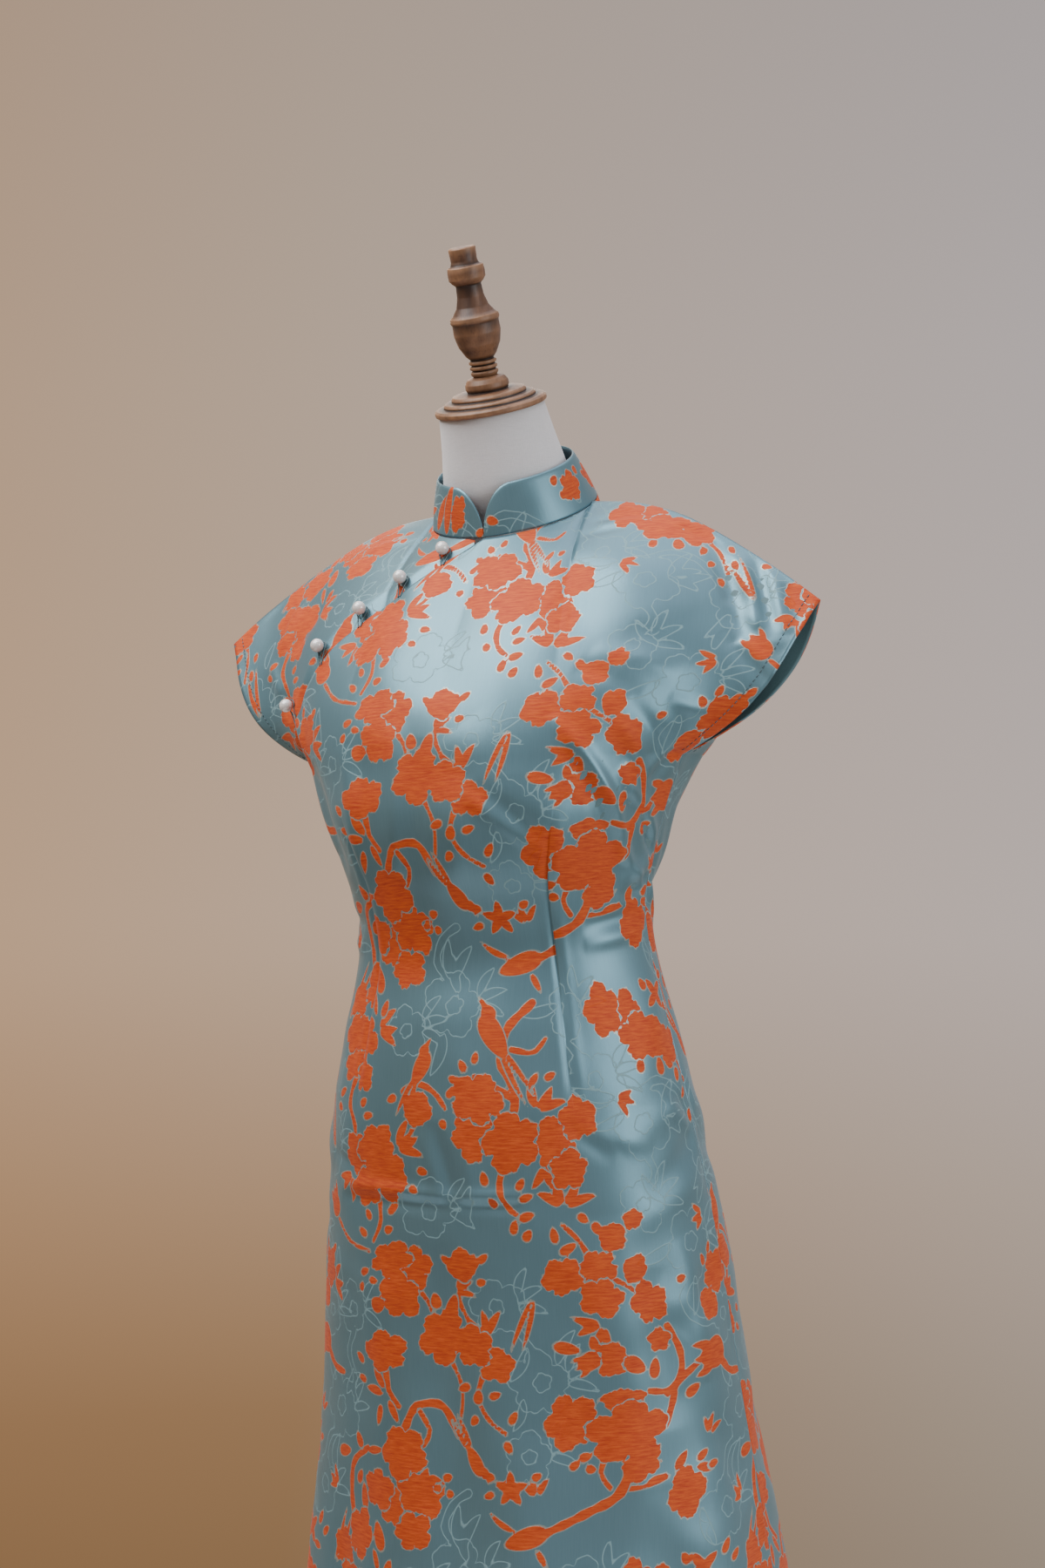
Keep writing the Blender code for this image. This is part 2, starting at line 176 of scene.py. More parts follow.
ARRIVALS = {
    Side.FRONT: (
        Arrive(0.00, 0.0, 0.50, 0.80, 0.20),
        Arrive(0.36, 0.0, 0.80, 0.50, 0.20),
        Arrive(0.60, 0.0, 0.90, 0.50, 0.17),
        Arrive(0.80, 0.1, 0.60, 0.80, 0.14),
        Arrive(1.00, 0.5, 0.30, 0.80, 0.12),
    ),
    Side.BACK: (
        Arrive(0.00, 0.0, -0.45, 0.85, 0.20),
        Arrive(0.36, 0.0, -0.75, 0.60, 0.20),
        Arrive(0.60, 0.0, -0.85, 0.50, 0.17),
        Arrive(0.80, 0.1, -0.60, 0.80, 0.14),
        Arrive(1.00, 0.5, -0.40, 0.80, 0.12),
    ),
}
OPENING = (
    Cut(-1.00, 0.020),
    Cut(-0.90, 0.060),
    Cut(-0.80, 0.120),
    Cut(-0.70, 0.205),
    Cut(-0.60, 0.305),
    Cut(-0.50, 0.395),
    Cut(-0.40, 0.475),
    Cut(-0.30, 0.575),
    Cut(-0.20, 0.700),
    Cut(-0.10, 0.865),
    Cut(0.00, 1.000),
)
PEARL_PLACES = (
    Cut(-0.110, 0.912),
    Cut(-0.250, 0.692),
    Cut(-0.412, 0.510),
    Cut(-0.542, 0.413),
    Cut(-0.725, 0.285),
)
FORM_OVALS = (
    Oval(0.745, -0.002, 0, 0.118, 0.080, 0.080),
    Oval(0.750, -0.002, 0, 0.138, 0.098, 0.096),
    Oval(0.765, -0.003, 0, 0.148, 0.108, 0.106),
    Oval(0.800, -0.008, 0, 0.150, 0.112, 0.107),
    Oval(0.840, -0.013, 0, 0.147, 0.111, 0.104),
    Oval(0.900, -0.021, 0, 0.138, 0.104, 0.094),
    Oval(0.960, -0.024, 0, 0.126, 0.094, 0.086),
    Oval(1.020, -0.028, 0, 0.1145, 0.082, 0.078),
    Oval(1.055, -0.031, 0, 0.1145, 0.088, 0.074),
    Oval(1.090, -0.028, 0, 0.121, 0.105, 0.075),
    Oval(1.125, -0.026, 0, 0.131, 0.114, 0.083),
    Oval(1.165, -0.026, 0, 0.143, 0.113, 0.087),
    Oval(1.185, -0.020, 0, 0.146, 0.111, 0.083),
    Oval(1.205, -0.014, 0, 0.148, 0.107, 0.079),
    Oval(1.245, -0.004, 0, 0.150, 0.089, 0.068),
    Oval(1.280, 0.003, 0, 0.150, 0.074, 0.058),
    Oval(1.305, 0.007, 0, 0.148, 0.060, 0.046),
    Oval(1.325, 0.009, 1, 0.143, 0.046, 0.036),
    Oval(1.340, 0.010, 2, 0.131, 0.034, 0.027),
    Oval(1.350, 0.010, 5, 0.104, 0.027, 0.024),
    Oval(1.360, 0.010, 11, 0.072, 0.028, 0.029),
    Oval(1.375, 0.006, 18, 0.0560, 0.038, 0.043),
    Oval(1.395, -0.002, 21, 0.0530, 0.044, 0.047),
    Oval(1.425, -0.015, 21, 0.0470, 0.042, 0.044),
    Oval(1.450, -0.026, 21, 0.0430, 0.041, 0.041),
)
CAP_PROFILE = (
    Turn(0.0000, 0.0265), Turn(0.0105, 0.0265), Turn(0.0150, 0.0250), Turn(0.0175, 0.0215),
    Turn(0.0178, 0.0180), Turn(0.0165, 0.0150), Turn(0.0290, 0.0138), Turn(0.0305, 0.0120),
    Turn(0.0305, 0.0100), Turn(0.0360, 0.0094), Turn(0.0375, 0.0080), Turn(0.0375, 0.0062),
    Turn(0.0435, 0.0056), Turn(0.0455, 0.0040), Turn(0.0455, 0.0012), Turn(0.0440, 0.0000),
    Turn(0.0000, 0.0000),
)
FINIAL_PROFILE = (
    Turn(0.0000, 0.1285), Turn(0.0100, 0.1285), Turn(0.0110, 0.1275), Turn(0.0105, 0.1180),
    Turn(0.0115, 0.1150), Turn(0.0145, 0.1135), Turn(0.0150, 0.1090), Turn(0.0148, 0.1040),
    Turn(0.0125, 0.1010), Turn(0.0102, 0.0990), Turn(0.0108, 0.0900), Turn(0.0130, 0.0820),
    Turn(0.0165, 0.0770), Turn(0.0195, 0.0745), Turn(0.0200, 0.0715), Turn(0.0188, 0.0690),
    Turn(0.0190, 0.0610), Turn(0.0170, 0.0520), Turn(0.0125, 0.0435), Turn(0.0092, 0.0400),
    Turn(0.0112, 0.0388), Turn(0.0112, 0.0370), Turn(0.0092, 0.0358), Turn(0.0112, 0.0346),
    Turn(0.0112, 0.0328), Turn(0.0092, 0.0316), Turn(0.0112, 0.0304), Turn(0.0112, 0.0286),
    Turn(0.0095, 0.0265), Turn(0.0000, 0.0265),
)
BASE_PROFILE = (
    Turn(0.0000, 0.0460), Turn(0.0230, 0.0460), Turn(0.0265, 0.0430), Turn(0.0270, 0.0380),
    Turn(0.0300, 0.0340), Turn(0.0480, 0.0315), Turn(0.0950, 0.0280), Turn(0.1330, 0.0245),
    Turn(0.1400, 0.0215), Turn(0.1500, 0.0200), Turn(0.1590, 0.0160), Turn(0.1600, 0.0110),
    Turn(0.1600, 0.0020), Turn(0.1585, 0.0000), Turn(0.0000, 0.0000),
)

# Creases of the front, then of the back. s runs from centre front to the wearer's left, t runs up.
FRONT_CREASES = tuple(Crease(*row) for row in (
    (0.092, 1.196, 0.166, 1.084, 0.0060, 0.0050, 0.004),
    (0.150, 1.100, 0.200, 1.050, 0.0055, 0.0032),
    (0.104, 1.170, 0.150, 1.086, 0.0075, -0.0026, 0.003),
    (0.146, 1.156, 0.188, 1.100, 0.0060, 0.0032),
    (0.156, 1.134, 0.202, 1.088, 0.0058, -0.0048, 0.003),
    (0.170, 1.134, 0.210, 1.092, 0.0062, 0.0026),
    (0.138, 1.194, 0.178, 1.148, 0.0064, 0.0024),
    (0.148, 1.206, 0.188, 1.166, 0.0066, -0.0024),
    (0.166, 1.146, 0.202, 1.180, 0.0064, 0.0022),
    (0.176, 1.144, 0.210, 1.170, 0.0064, -0.0024),
    (0.178, 1.208, 0.210, 1.194, 0.0060, 0.0020),
    (0.106, 1.236, 0.156, 1.210, 0.0075, -0.0019, 0.003),
    (0.118, 1.250, 0.182, 1.222, 0.0070, 0.0015, 0.004),
    (0.144, 1.270, 0.196, 1.240, 0.0080, -0.0014),
    (0.200, 1.356, 0.226, 1.252, 0.0090, -0.0055, 0.004),
    (0.222, 1.340, 0.238, 1.262, 0.0070, 0.0042, 0.003),
    (0.240, 1.336, 0.247, 1.250, 0.0072, -0.0030),
    (0.252, 1.328, 0.262, 1.256, 0.0072, 0.0030),
    (0.264, 1.304, 0.274, 1.256, 0.0066, -0.0022),
    (0.214, 1.294, 0.256, 1.244, 0.0070, 0.0022),
    (0.210, 1.262, 0.246, 1.216, 0.0060, -0.0028),
    (0.220, 1.254, 0.252, 1.218, 0.0066, 0.0020),
    (0.176, 1.380, 0.212, 1.350, 0.0068, -0.0024),
    (0.186, 1.388, 0.222, 1.360, 0.0068, 0.0020),
    (0.104, 1.391, 0.149, 1.396, 0.0032, -0.0014),
    (0.108, 1.383, 0.146, 1.386, 0.0034, 0.0012),
    (0.096, 1.372, 0.136, 1.377, 0.0036, -0.0011),
    (0.022, 1.142, 0.084, 1.090, 0.0060, 0.0019),
    (0.034, 1.146, 0.090, 1.100, 0.0060, -0.0014),
    (0.020, 1.152, 0.016, 1.070, 0.0100, 0.0020),
    (-0.012, 1.182, -0.020, 1.080, 0.0100, -0.0018, 0.003),
    (-0.038, 1.196, -0.042, 1.070, 0.0100, 0.0026, 0.003),
    (-0.066, 1.190, -0.062, 1.080, 0.0090, -0.0020, -0.003),
    (-0.090, 1.180, -0.080, 1.080, 0.0090, 0.0020, 0.004),
    (-0.150, 1.170, -0.120, 1.080, 0.0090, -0.0028, 0.004),
    (-0.176, 1.180, -0.140, 1.096, 0.0070, 0.0030, 0.003),
    (-0.196, 1.160, -0.156, 1.070, 0.0060, -0.0030),
    (-0.186, 1.226, -0.158, 1.170, 0.0070, 0.0034, 0.003),
    (-0.204, 1.236, -0.176, 1.180, 0.0080, -0.0045, 0.003),
    (-0.226, 1.262, -0.200, 1.224, 0.0060, 0.0024),
    (-0.170, 1.330, -0.196, 1.268, 0.0100, -0.0030, 0.004),
    (-0.206, 1.330, -0.218, 1.270, 0.0070, 0.0024),
    (-0.100, 1.390, -0.150, 1.376, 0.0055, 0.0016),
    (0.124, 1.036, 0.182, 1.046, 0.0064, -0.0026),
    (0.126, 1.022, 0.186, 1.032, 0.0064, 0.0022),
    (0.158, 1.056, 0.206, 1.076, 0.0062, -0.0026),
    (0.156, 1.068, 0.204, 1.088, 0.0062, 0.0022),
    (-0.190, 1.050, -0.120, 1.040, 0.0060, -0.0022),
    (-0.190, 1.028, -0.130, 1.022, 0.0060, 0.0020),
    (-0.014, 0.892, 0.003, 0.826, 0.0060, -0.0019),
    (-0.026, 0.886, -0.010, 0.830, 0.0065, 0.0013),
    (0.012, 0.878, 0.016, 0.832, 0.0065, 0.0011),
    (-0.120, 0.839, 0.006, 0.835, 0.0048, 0.0026, 0.002),
    (-0.118, 0.828, 0.000, 0.826, 0.0050, -0.0020, 0.002),
    (-0.004, 0.836, 0.060, 0.838, 0.0050, 0.0024),
    (0.004, 0.828, 0.056, 0.829, 0.0042, -0.0018),
    (-0.140, 0.862, -0.080, 0.850, 0.0060, -0.0014),
    (0.086, 0.892, 0.126, 0.862, 0.0065, -0.0013),
    (0.100, 0.884, 0.160, 0.870, 0.0070, 0.0010),
    (0.176, 0.912, 0.218, 0.886, 0.0064, -0.0020),
    (0.174, 0.900, 0.216, 0.874, 0.0064, 0.0018),
    (0.180, 0.800, 0.196, 0.690, 0.0120, 0.0030),
    (0.150, 0.780, 0.160, 0.660, 0.0120, -0.0020),
    (-0.150, 0.780, -0.040, 0.752, 0.0120, 0.0014),
    (0.060, 0.660, 0.020, 0.400, 0.0260, 0.0045, 0.006),
    (0.020, 1.190, 0.120, 1.060, 0.0200, 0.0026, 0.008),
    (-0.050, 1.180, -0.030, 1.020, 0.0220, -0.0024, 0.006),
    (0.060, 1.150, 0.075, 0.980, 0.0200, -0.0020, 0.006),
    (-0.130, 1.060, -0.100, 0.920, 0.0220, -0.0026, 0.006),
    (0.190, 1.020, 0.150, 0.900, 0.0180, 0.0026, 0.006),
    (-0.090, 0.820, -0.060, 0.560, 0.0240, 0.0040, 0.008),
    (-0.020, 0.800, -0.010, 0.500, 0.0260, -0.0042, 0.008),
    (0.110, 0.820, 0.130, 0.520, 0.0260, 0.0042, 0.008),
    (0.186, 0.760, 0.214, 0.460, 0.0240, 0.0036, 0.006),
    (0.226, 0.936, 0.130, 0.872, 0.0130, 0.0024, 0.006),
    (0.232, 0.900, 0.150, 0.830, 0.0120, -0.0024, 0.005),
    (0.222, 0.846, 0.120, 0.800, 0.0140, 0.0022, -0.005),
    (0.236, 0.800, 0.170, 0.730, 0.0130, -0.0026, 0.005),
    (0.150, 0.760, 0.230, 0.700, 0.0150, 0.0024, 0.006),
    (0.170, 0.690, 0.240, 0.590, 0.0150, -0.0028, 0.006),
    (0.120, 0.650, 0.190, 0.560, 0.0160, 0.0024, -0.006),
    (-0.228, 0.900, -0.140, 0.850, 0.0130, 0.0022, 0.005),
    (-0.232, 0.850, -0.150, 0.800, 0.0130, -0.0024, -0.005),
    (-0.190, 0.800, -0.200, 0.480, 0.0240, 0.0034, 0.006),
    (0.040, 1.330, 0.140, 1.230, 0.0220, -0.0022, 0.006),
    (0.090, 1.360, 0.180, 1.270, 0.0200, 0.0022, 0.006),
    (-0.060, 1.330, -0.140, 1.240, 0.0200, -0.0020, 0.006),
    (-0.120, 0.620, -0.150, 0.380, 0.0240, -0.0045, 0.006),
    (0.150, 0.620, 0.176, 0.380, 0.0200, -0.0040, 0.006),
))
BACK_CREASES = tuple(Crease(*row) for row in (
    (0.170, 1.130, 0.100, 1.040, 0.0075, 0.0038, 0.004),
    (0.190, 1.112, 0.130, 1.036, 0.0070, -0.0038, 0.003),
    (0.196, 1.090, 0.150, 1.032, 0.0060, 0.0028),
    (-0.166, 1.140, -0.096, 1.052, 0.0080, 0.0040, -0.004),
    (-0.188, 1.120, -0.128, 1.040, 0.0070, -0.0036),
    (-0.196, 1.092, -0.150, 1.036, 0.0060, 0.0026),
    (0.104, 1.012, -0.060, 1.003, 0.0065, 0.0022, 0.003),
    (0.070, 0.992, -0.110, 0.984, 0.0060, -0.0020, 0.003),
    (0.100, 0.976, -0.030, 0.970, 0.0060, 0.0016),
    (0.216, 1.340, 0.170, 1.226, 0.0100, 0.0038, 0.006),
    (0.196, 1.330, 0.152, 1.236, 0.0080, -0.0026),
    (-0.218, 1.336, -0.174, 1.222, 0.0100, -0.0038, 0.006),
    (-0.196, 1.332, -0.150, 1.240, 0.0080, 0.0026),
    (0.046, 1.372, 0.034, 1.290, 0.0090, -0.0018),
    (-0.040, 1.366, -0.030, 1.296, 0.0090, 0.0014),
    (-0.140, 0.862, 0.020, 0.850, 0.0075, 0.0018, 0.003),
    (0.010, 0.838, 0.110, 0.830, 0.0065, -0.0018, 0.003),
    (0.226, 0.930, 0.136, 0.866, 0.0130, 0.0024, 0.006),
    (0.230, 0.880, 0.140, 0.826, 0.0130, -0.0024, -0.005),
    (-0.224, 0.926, -0.130, 0.874, 0.0140, 0.0026, 0.005),
    (-0.230, 0.870, -0.150, 0.806, 0.0120, -0.0022, 0.005),
    (0.160, 0.700, 0.230, 0.600, 0.0150, -0.0026, 0.006),
    (-0.150, 0.700, -0.228, 0.620, 0.0150, 0.0026, 0.006),
    (0.010, 0.760, 0.030, 0.500, 0.0250, -0.0040, 0.008),
    (-0.160, 0.760, -0.186, 0.470, 0.0240, 0.0036, 0.006),
    (0.090, 0.700, 0.112, 0.420, 0.0230, 0.0042, 0.006),
    (-0.060, 0.720, -0.084, 0.400, 0.0220, -0.0042, 0.006),
))


# ---------------------------------------------------------------- the shape of the dress


def through(xs: Array, ys: Array, x: Array) -> Array:
    """Run a smooth curve through rows of values.

    Args:
        xs: Increasing places of the rows.
        ys: The rows.
        x: Places at which to read the curve.

    Returns:
        One interpolated row for each place.
    """
    xs = np.asarray(xs, float)
    ys = np.asarray(ys, float)
    x = np.clip(np.asarray(x, float), xs[0], xs[-1])
    slopes = np.gradient(ys, xs, axis=0)
    i = np.clip(np.searchsorted(xs, x, side="right") - 1, 0, len(xs) - 2)
    span = xs[i + 1] - xs[i]
    q = (x - xs[i]) / span
    if ys.ndim > 1:
        q = q[..., None]
        span = span[..., None]
    start = (2 * q**3 - 3 * q**2 + 1) * ys[i] + (q**3 - 2 * q**2 + q) * span * slopes[i]
    return start + (3 * q**2 - 2 * q**3) * ys[i + 1] + (q**3 - q**2) * span * slopes[i + 1]


def unit(vectors: Array) -> Array:
    """Scale vectors on the last axis to length 1."""
    return vectors / np.maximum(np.linalg.norm(vectors, axis=-1, keepdims=True), 1e-9)


def ease(x: Array) -> Array:
    """Rise smoothly from 0 to 1 as x does."""
    x = np.clip(x, 0, 1)
    return x * x * (3 - 2 * x)


@dataclass(frozen=True)
class DressShape:
    """The worn shape of the dress as functions of place on its panels."""

    hem_z: float = 0.340
    underarm_z: float = 1.165
    vent_top_z: float = 0.500
    vent_gape: float = 0.010
    seam: float = 0.0004
    cloth: float = 0.0012
    neck_y: float = 0.013
    neck_z: float = 1.372
    neck_half_width: float = 0.069
    neck_half_depth: float = 0.066
    neck_tilt: float = math.radians(25.5)
    neck_share: float = 0.36
    sleeve_flare: float = 0.19
    sleeve_drop: float = 0.05
    sleeve_bow: tuple[float, float] = (-0.010, 0.014)

    def ring(self, angle: Array, z: Array) -> Array:
        """Give points of the dress below the underarm.

        Args:
            angle: Radians round from centre front, positive to the wearer's left.
            z: Heights.

        Returns:
            Points, with x, y and z on the last axis.
        """
        angle, z = np.broadcast_arrays(np.asarray(angle, float), np.asarray(z, float))
        rows = np.array(SECTIONS)
        read = through(rows[:, 0], rows[:, 1:], z)
        half_width, centre, front, back, square = np.moveaxis(read, -1, 0)
        depth = np.where(np.cos(angle) > 0, front, back)
        swell = 1 + square * np.sin(2 * angle) ** 2
        out = np.zeros(angle.shape)
        for fold in FOLDS:
            away = (np.degrees(angle) - fold.angle + 180) % 360 - 180
            grown = np.clip((fold.start - z) / (fold.start - fold.full), 0, 1)
            out += fold.height * grown**1.5 * np.exp(-((away / fold.width) ** 2))
        x = (half_width * swell + out) * np.sin(angle)
        y = centre - (depth * swell + out) * np.cos(angle)
        return np.stack([x, y, z], -1)

    def neck(self, angle: Array, shrink: Array = 0.0, lift: Array = 0.0) -> Array:
        """Give the collar seam, or a narrower oval that stands above it.

        Args:
            angle: Radians round from centre front.
            shrink: Share by which the oval is narrower.
            lift: Distance above the seam.

        Returns:
            Points of the oval.
        """
        x = self.neck_half_width * (1 - shrink) * np.sin(angle)
        back = -self.neck_half_depth * (1 - shrink) * np.cos(angle)
        c = math.cos(self.neck_tilt)
        s = math.sin(self.neck_tilt)
        return np.stack([x, self.neck_y + back * c - lift * s, self.neck_z + back * s + lift * c], -1)

    def upper_edge(self, m: Array, side: Side) -> Array:
        """Follow the collar seam and then the shoulder line outwards.

        Args:
            m: Share of the way out, from 0 at the centre to 1 at the sleeve's tip.
            side: Front or back.

        Returns:
            Points on the wearer's left.
        """
        turn = np.clip(m / self.neck_share, 0, 1) * math.pi / 2
        on_neck = self.neck(math.pi - turn if side is Side.BACK else turn)
        points = np.array(SHOULDER)
        out = np.clip((m - self.neck_share) / (1 - self.neck_share), 0, 1)
        on_shoulder = through(np.linspace(0, 1, len(points)), points, out)
        return np.where((m <= self.neck_share)[..., None], on_neck, on_shoulder)

    def yoke(self, u: Array, w: Array, side: Side) -> Array:
        """Give points of the dress above the underarm.

        Args:
            u: From -1 to 1 across.
            w: From 0 at the underarm to 1 at the upper edge.
            side: Front or back.

        Returns:
            Points, with x, y and z on the last axis.
        """
        u, w = np.broadcast_arrays(np.asarray(u, float), np.asarray(w, float))
        m = np.abs(u)
        angle = m * math.pi / 2
        if side is Side.BACK:
            angle = math.pi - angle
        low = self.ring(angle, self.underarm_z)
        rise = low - self.ring(angle, self.underarm_z - 0.004)
        high = self.upper_edge(m, side)
        table = np.array(ARRIVALS[side])
        arrive = through(table[:, 0], table[:, 1:], m)
        leave = unit(rise) * np.linalg.norm(high - low, axis=-1, keepdims=True)
        leave[..., 0] += self.sleeve_flare * m**5
        leave[..., 2] -= self.sleeve_drop * m**5
        land = unit(arrive[..., :3]) * arrive[..., 3:]
        q = w[..., None]
        p = (2 * q**3 - 3 * q**2 + 1) * low + (q**3 - 2 * q**2 + q) * leave
        p += (3 * q**2 - 2 * q**3) * high + (q**3 - q**2) * land
        bow = self.sleeve_bow[1 if side is Side.BACK else 0]
        p[..., 1] += bow * 4 * w * (1 - w) * np.clip((m - 0.75) / 0.25, 0, 1) ** 2
        p[..., 0] *= np.where(u < 0, -1, 1)
        return p

    def opening(self, u: Array) -> Array:
        """Give how far up the yoke the outer front reaches at each place across."""
        cuts = np.array(OPENING)
        return np.where(u < 0, through(cuts[:, 0], cuts[:, 1], u), 1.0)

    def side_gap(self, z: Array) -> Array:
        """Give how far short of the side seam a panel stops, as a share of its half width."""
        vent = self.vent_gape * np.clip((self.vent_top_z - z) / (self.vent_top_z - self.hem_z), 0, 1)
        return (self.seam / 2 + vent / 2) / (0.155 * math.pi / 2)

    def outward(self, grid: Array, side: Side) -> Array:
        """Give unit normals of a grid whose rows run up and columns run to the wearer's left."""
        normal = unit(np.cross(np.gradient(grid, axis=1), np.gradient(grid, axis=0)))
        return -normal if side is Side.BACK else normal

    def seam_normals(self, u: Array) -> Array:
        """Give the direction midway between the front's and the back's normals at the upper edge."""
        w = np.array([0.990, 0.996, 1.0])[:, None]
        fronts = self.outward(self.yoke(u, w, Side.FRONT), Side.FRONT)[-1]
        backs = self.outward(self.yoke(u, w, Side.BACK), Side.BACK)[-1]
        return unit(fronts + backs)


# ---------------------------------------------------------------- the woven drawing


@dataclass
class Field:
    """Signed distances, in metres and positive inside, from flat cloth places to drawn shapes."""

    s: Array
    t: Array
    width: float
    height: float
    value: Array = field(init=False)
    frill: Array = field(init=False)

    def __post_init__(self) -> None:
        """Start with nothing drawn."""
        self.value = np.full(self.s.shape, -0.008)
        self.frill = np.zeros(self.s.shape)

    def near(self, x: float, y: float, reach: float) -> tuple[Array, Array, Array]:
        """Find the cloth near a place of the repeat, both in millimetres.

        Args:
            x: Across the repeat.
            y: Up the repeat.
            reach: How far the shape goes from there.

        Returns:
            A mask, and the offsets from the place where the mask holds.
        """
        wide, tall = self.width * 1000, self.height * 1000
        dx = (self.s * 1000 - x + wide / 2) % wide - wide / 2
        dy = (self.t * 1000 - y + tall / 2) % tall - tall / 2
        mask = (np.abs(dx) < reach) & (np.abs(dy) < reach)
        return mask, dx[mask], dy[mask]

    def add(self, mask: Array, inside: Array, frill: float = 0.0) -> None:
        """Join a shape, in millimetres, to what is drawn, with a plain or frilled edge."""
        old = self.value[mask]
        self.frill[mask] = np.where(inside / 1000 > old, frill, self.frill[mask])
        self.value[mask] = np.maximum(old, inside / 1000)


class Brush:
    """Draws flowers, leaves, buds, branches and birds into one layer, in millimetres and degrees."""

    fullness: float = 1.17
    stoutness: float = 1.25

    def __init__(self, layer: Field) -> None:
        """Work on one layer."""
        self.layer = layer

    @staticmethod
    def turned(dx: Array, dy: Array, turn: float) -> tuple[Array, Array]:
        """Measure offsets along and across a direction."""
        c, s = math.cos(math.radians(turn)), math.sin(math.radians(turn))
        return dx * c + dy * s, dy * c - dx * s

    def blossom(
        self, x: float, y: float, r: float, turn: float = 0.0, squash: float = 1.0, petals: int = 5
    ) -> None:
        """Draw a full flower: broad petals with frilled edges.

        Args:
            x: Across the repeat.
            y: Up the repeat.
            r: Radius.
            turn: Turn of its long way.
            squash: Width across the long way, as a share.
            petals: How many petals.
        """
        r = r * self.fullness
        mask, dx, dy = self.layer.near(x, y, r * 1.25 + 6)
        a, b = self.turned(dx, dy, turn)
        b = b / squash
        angle = np.arctan2(b, a) + x
        lobe = np.abs(np.cos(angle * petals / 2)) ** 0.62
        notch = np.abs(np.cos(angle * petals * 1.5 + 0.25 * np.sin(angle + x))) ** 0.7
        uneven = 1 + 0.10 * np.sin(angle + y) + 0.07 * np.sin(2 * angle + x)
        radius = r * (0.66 + 0.34 * lobe + 0.085 * notch) * uneven
        self.layer.add(mask, (radius - np.hypot(a, b)) * (0.5 + 0.5 * squash) * 0.9, 1.0)

    def shell(self, x: float, y: float, r: float, turn: float, spread: float = 72.0) -> None:
        """Draw a flower from the side, which opens like a shell from its foot."""
        r = r * self.fullness
        mask, dx, dy = self.layer.near(x, y, r * 1.1 + 6)
        a, b = self.turned(dx, dy, turn)
        b = b * 60 / spread
        angle = np.arctan2(b, a)
        lobe = 0.16 * np.abs(np.cos(angle * 3.5)) ** 0.6 * ease(np.cos(angle) + 0.6)
        radius = r * (0.36 + 0.58 * np.clip(np.cos(angle), -0.2, 1) + lobe)
        self.layer.add(mask, (radius - np.hypot(a, b)) * 0.85, 1.0)

    def oval(self, x: float, y: float, length: float, width: float, turn: float) -> None:
        """Draw a bud or a berry."""
        mask, dx, dy = self.layer.near(x, y, length / 2 + 6)
        a, b = self.turned(dx, dy, turn)
        a = a / (length / 2)
        b = b / (width / 2 * (1 - 0.22 * np.clip(a, -1, 1)))
        self.layer.add(mask, (1 - np.hypot(a, b)) * width / 2)

    def leaf(self, x: float, y: float, length: float, width: float, turn: float, bend: float = 0.0) -> None:
        """Draw a pointed leaf that starts at a place and runs off at an angle, bowed by bend."""
        mask, dx, dy = self.layer.near(x, y, length + 6)
        a, b = self.turned(dx, dy, turn)
        q = np.clip(a / length, 0, 1)
        half = width / 2 * (q**0.6 * (1 - q) ** 0.85) * 1.95
        b = b - bend * 4 * q * (1 - q)
        beyond = np.maximum(np.maximum(-a, a - length), 0)
        self.layer.add(mask, half - np.hypot(b, beyond) * 0.9 - 0.1)

    def branch(self, points: tuple[tuple[float, float], ...], r0: float, r1: float) -> None:
        """Draw a curved branch through places, thinning from radius r0 to r1."""
        path = np.array(points, float)
        run = np.concatenate([[0], np.cumsum(np.linalg.norm(np.diff(path, axis=0), axis=1))])
        n = max(5, int(run[-1] / 5))
        fine = through(run, path, np.linspace(0, run[-1], n))
        radii = np.linspace(r0, r1, n) * self.stoutness * (1 + 0.16 * np.sin(np.arange(n) * 2.1))
        for (ax, ay), (bx, by), ra, rb in zip(fine[:-1], fine[1:], radii[:-1], radii[1:]):
            mask, dx, dy = self.layer.near((ax + bx) / 2, (ay + by) / 2, 13)
            hx, hy = (bx - ax) / 2, (by - ay) / 2
            q = np.clip((dx * hx + dy * hy) / (hx * hx + hy * hy), -1, 1)
            self.layer.add(mask, ra + (rb - ra) * (q + 1) / 2 - np.hypot(dx - q * hx, dy - q * hy))

    def fan(self, x: float, y: float, length: float, width: float, turns: tuple[float, ...]) -> None:
        """Draw leaves that spread from round one place."""
        for n, turn in enumerate(turns):
            c, s = math.cos(math.radians(turn)), math.sin(math.radians(turn))
            reach, bend = length * (1 - 0.14 * (n % 2)), width * 0.14 * (-1) ** n
            self.leaf(x + 3 * c, y + 3 * s, reach, width, turn, bend)

    def buds(self, places: tuple[Triple, ...], length: float = 11.0, width: float = 6.5) -> None:
        """Draw buds, each at a place and a turn."""
        for n, (x, y, turn) in enumerate(places):
            self.oval(x, y, length * (1 - 0.1 * (n % 3)), width * (1 - 0.08 * (n % 2)), turn)

    def bell(self, x: float, y: float, size: float, turn: float) -> None:
        """Draw a half-open flower: a round cup with a torn rim."""
        self.oval(x, y, size * 1.05, size * 0.78, turn)
        c, s = math.cos(math.radians(turn)), math.sin(math.radians(turn))
        for aside in (-0.28, 0.0, 0.28):
            px = x + size * (0.10 * c - aside * s)
            py = y + size * (0.10 * s + aside * c)
            self.leaf(px, py, size * 0.62, size * 0.27, turn + 40 * aside)

    def open_flower(self, x: float, y: float, r: float, turn: float, petals: int = 5) -> None:
        """Draw a flower of separate pointed petals."""
        for n in range(petals):
            self.leaf(x, y, r, r * 0.60, turn + 360 * n / petals)
        self.oval(x, y, r * 0.45, r * 0.42, 0)

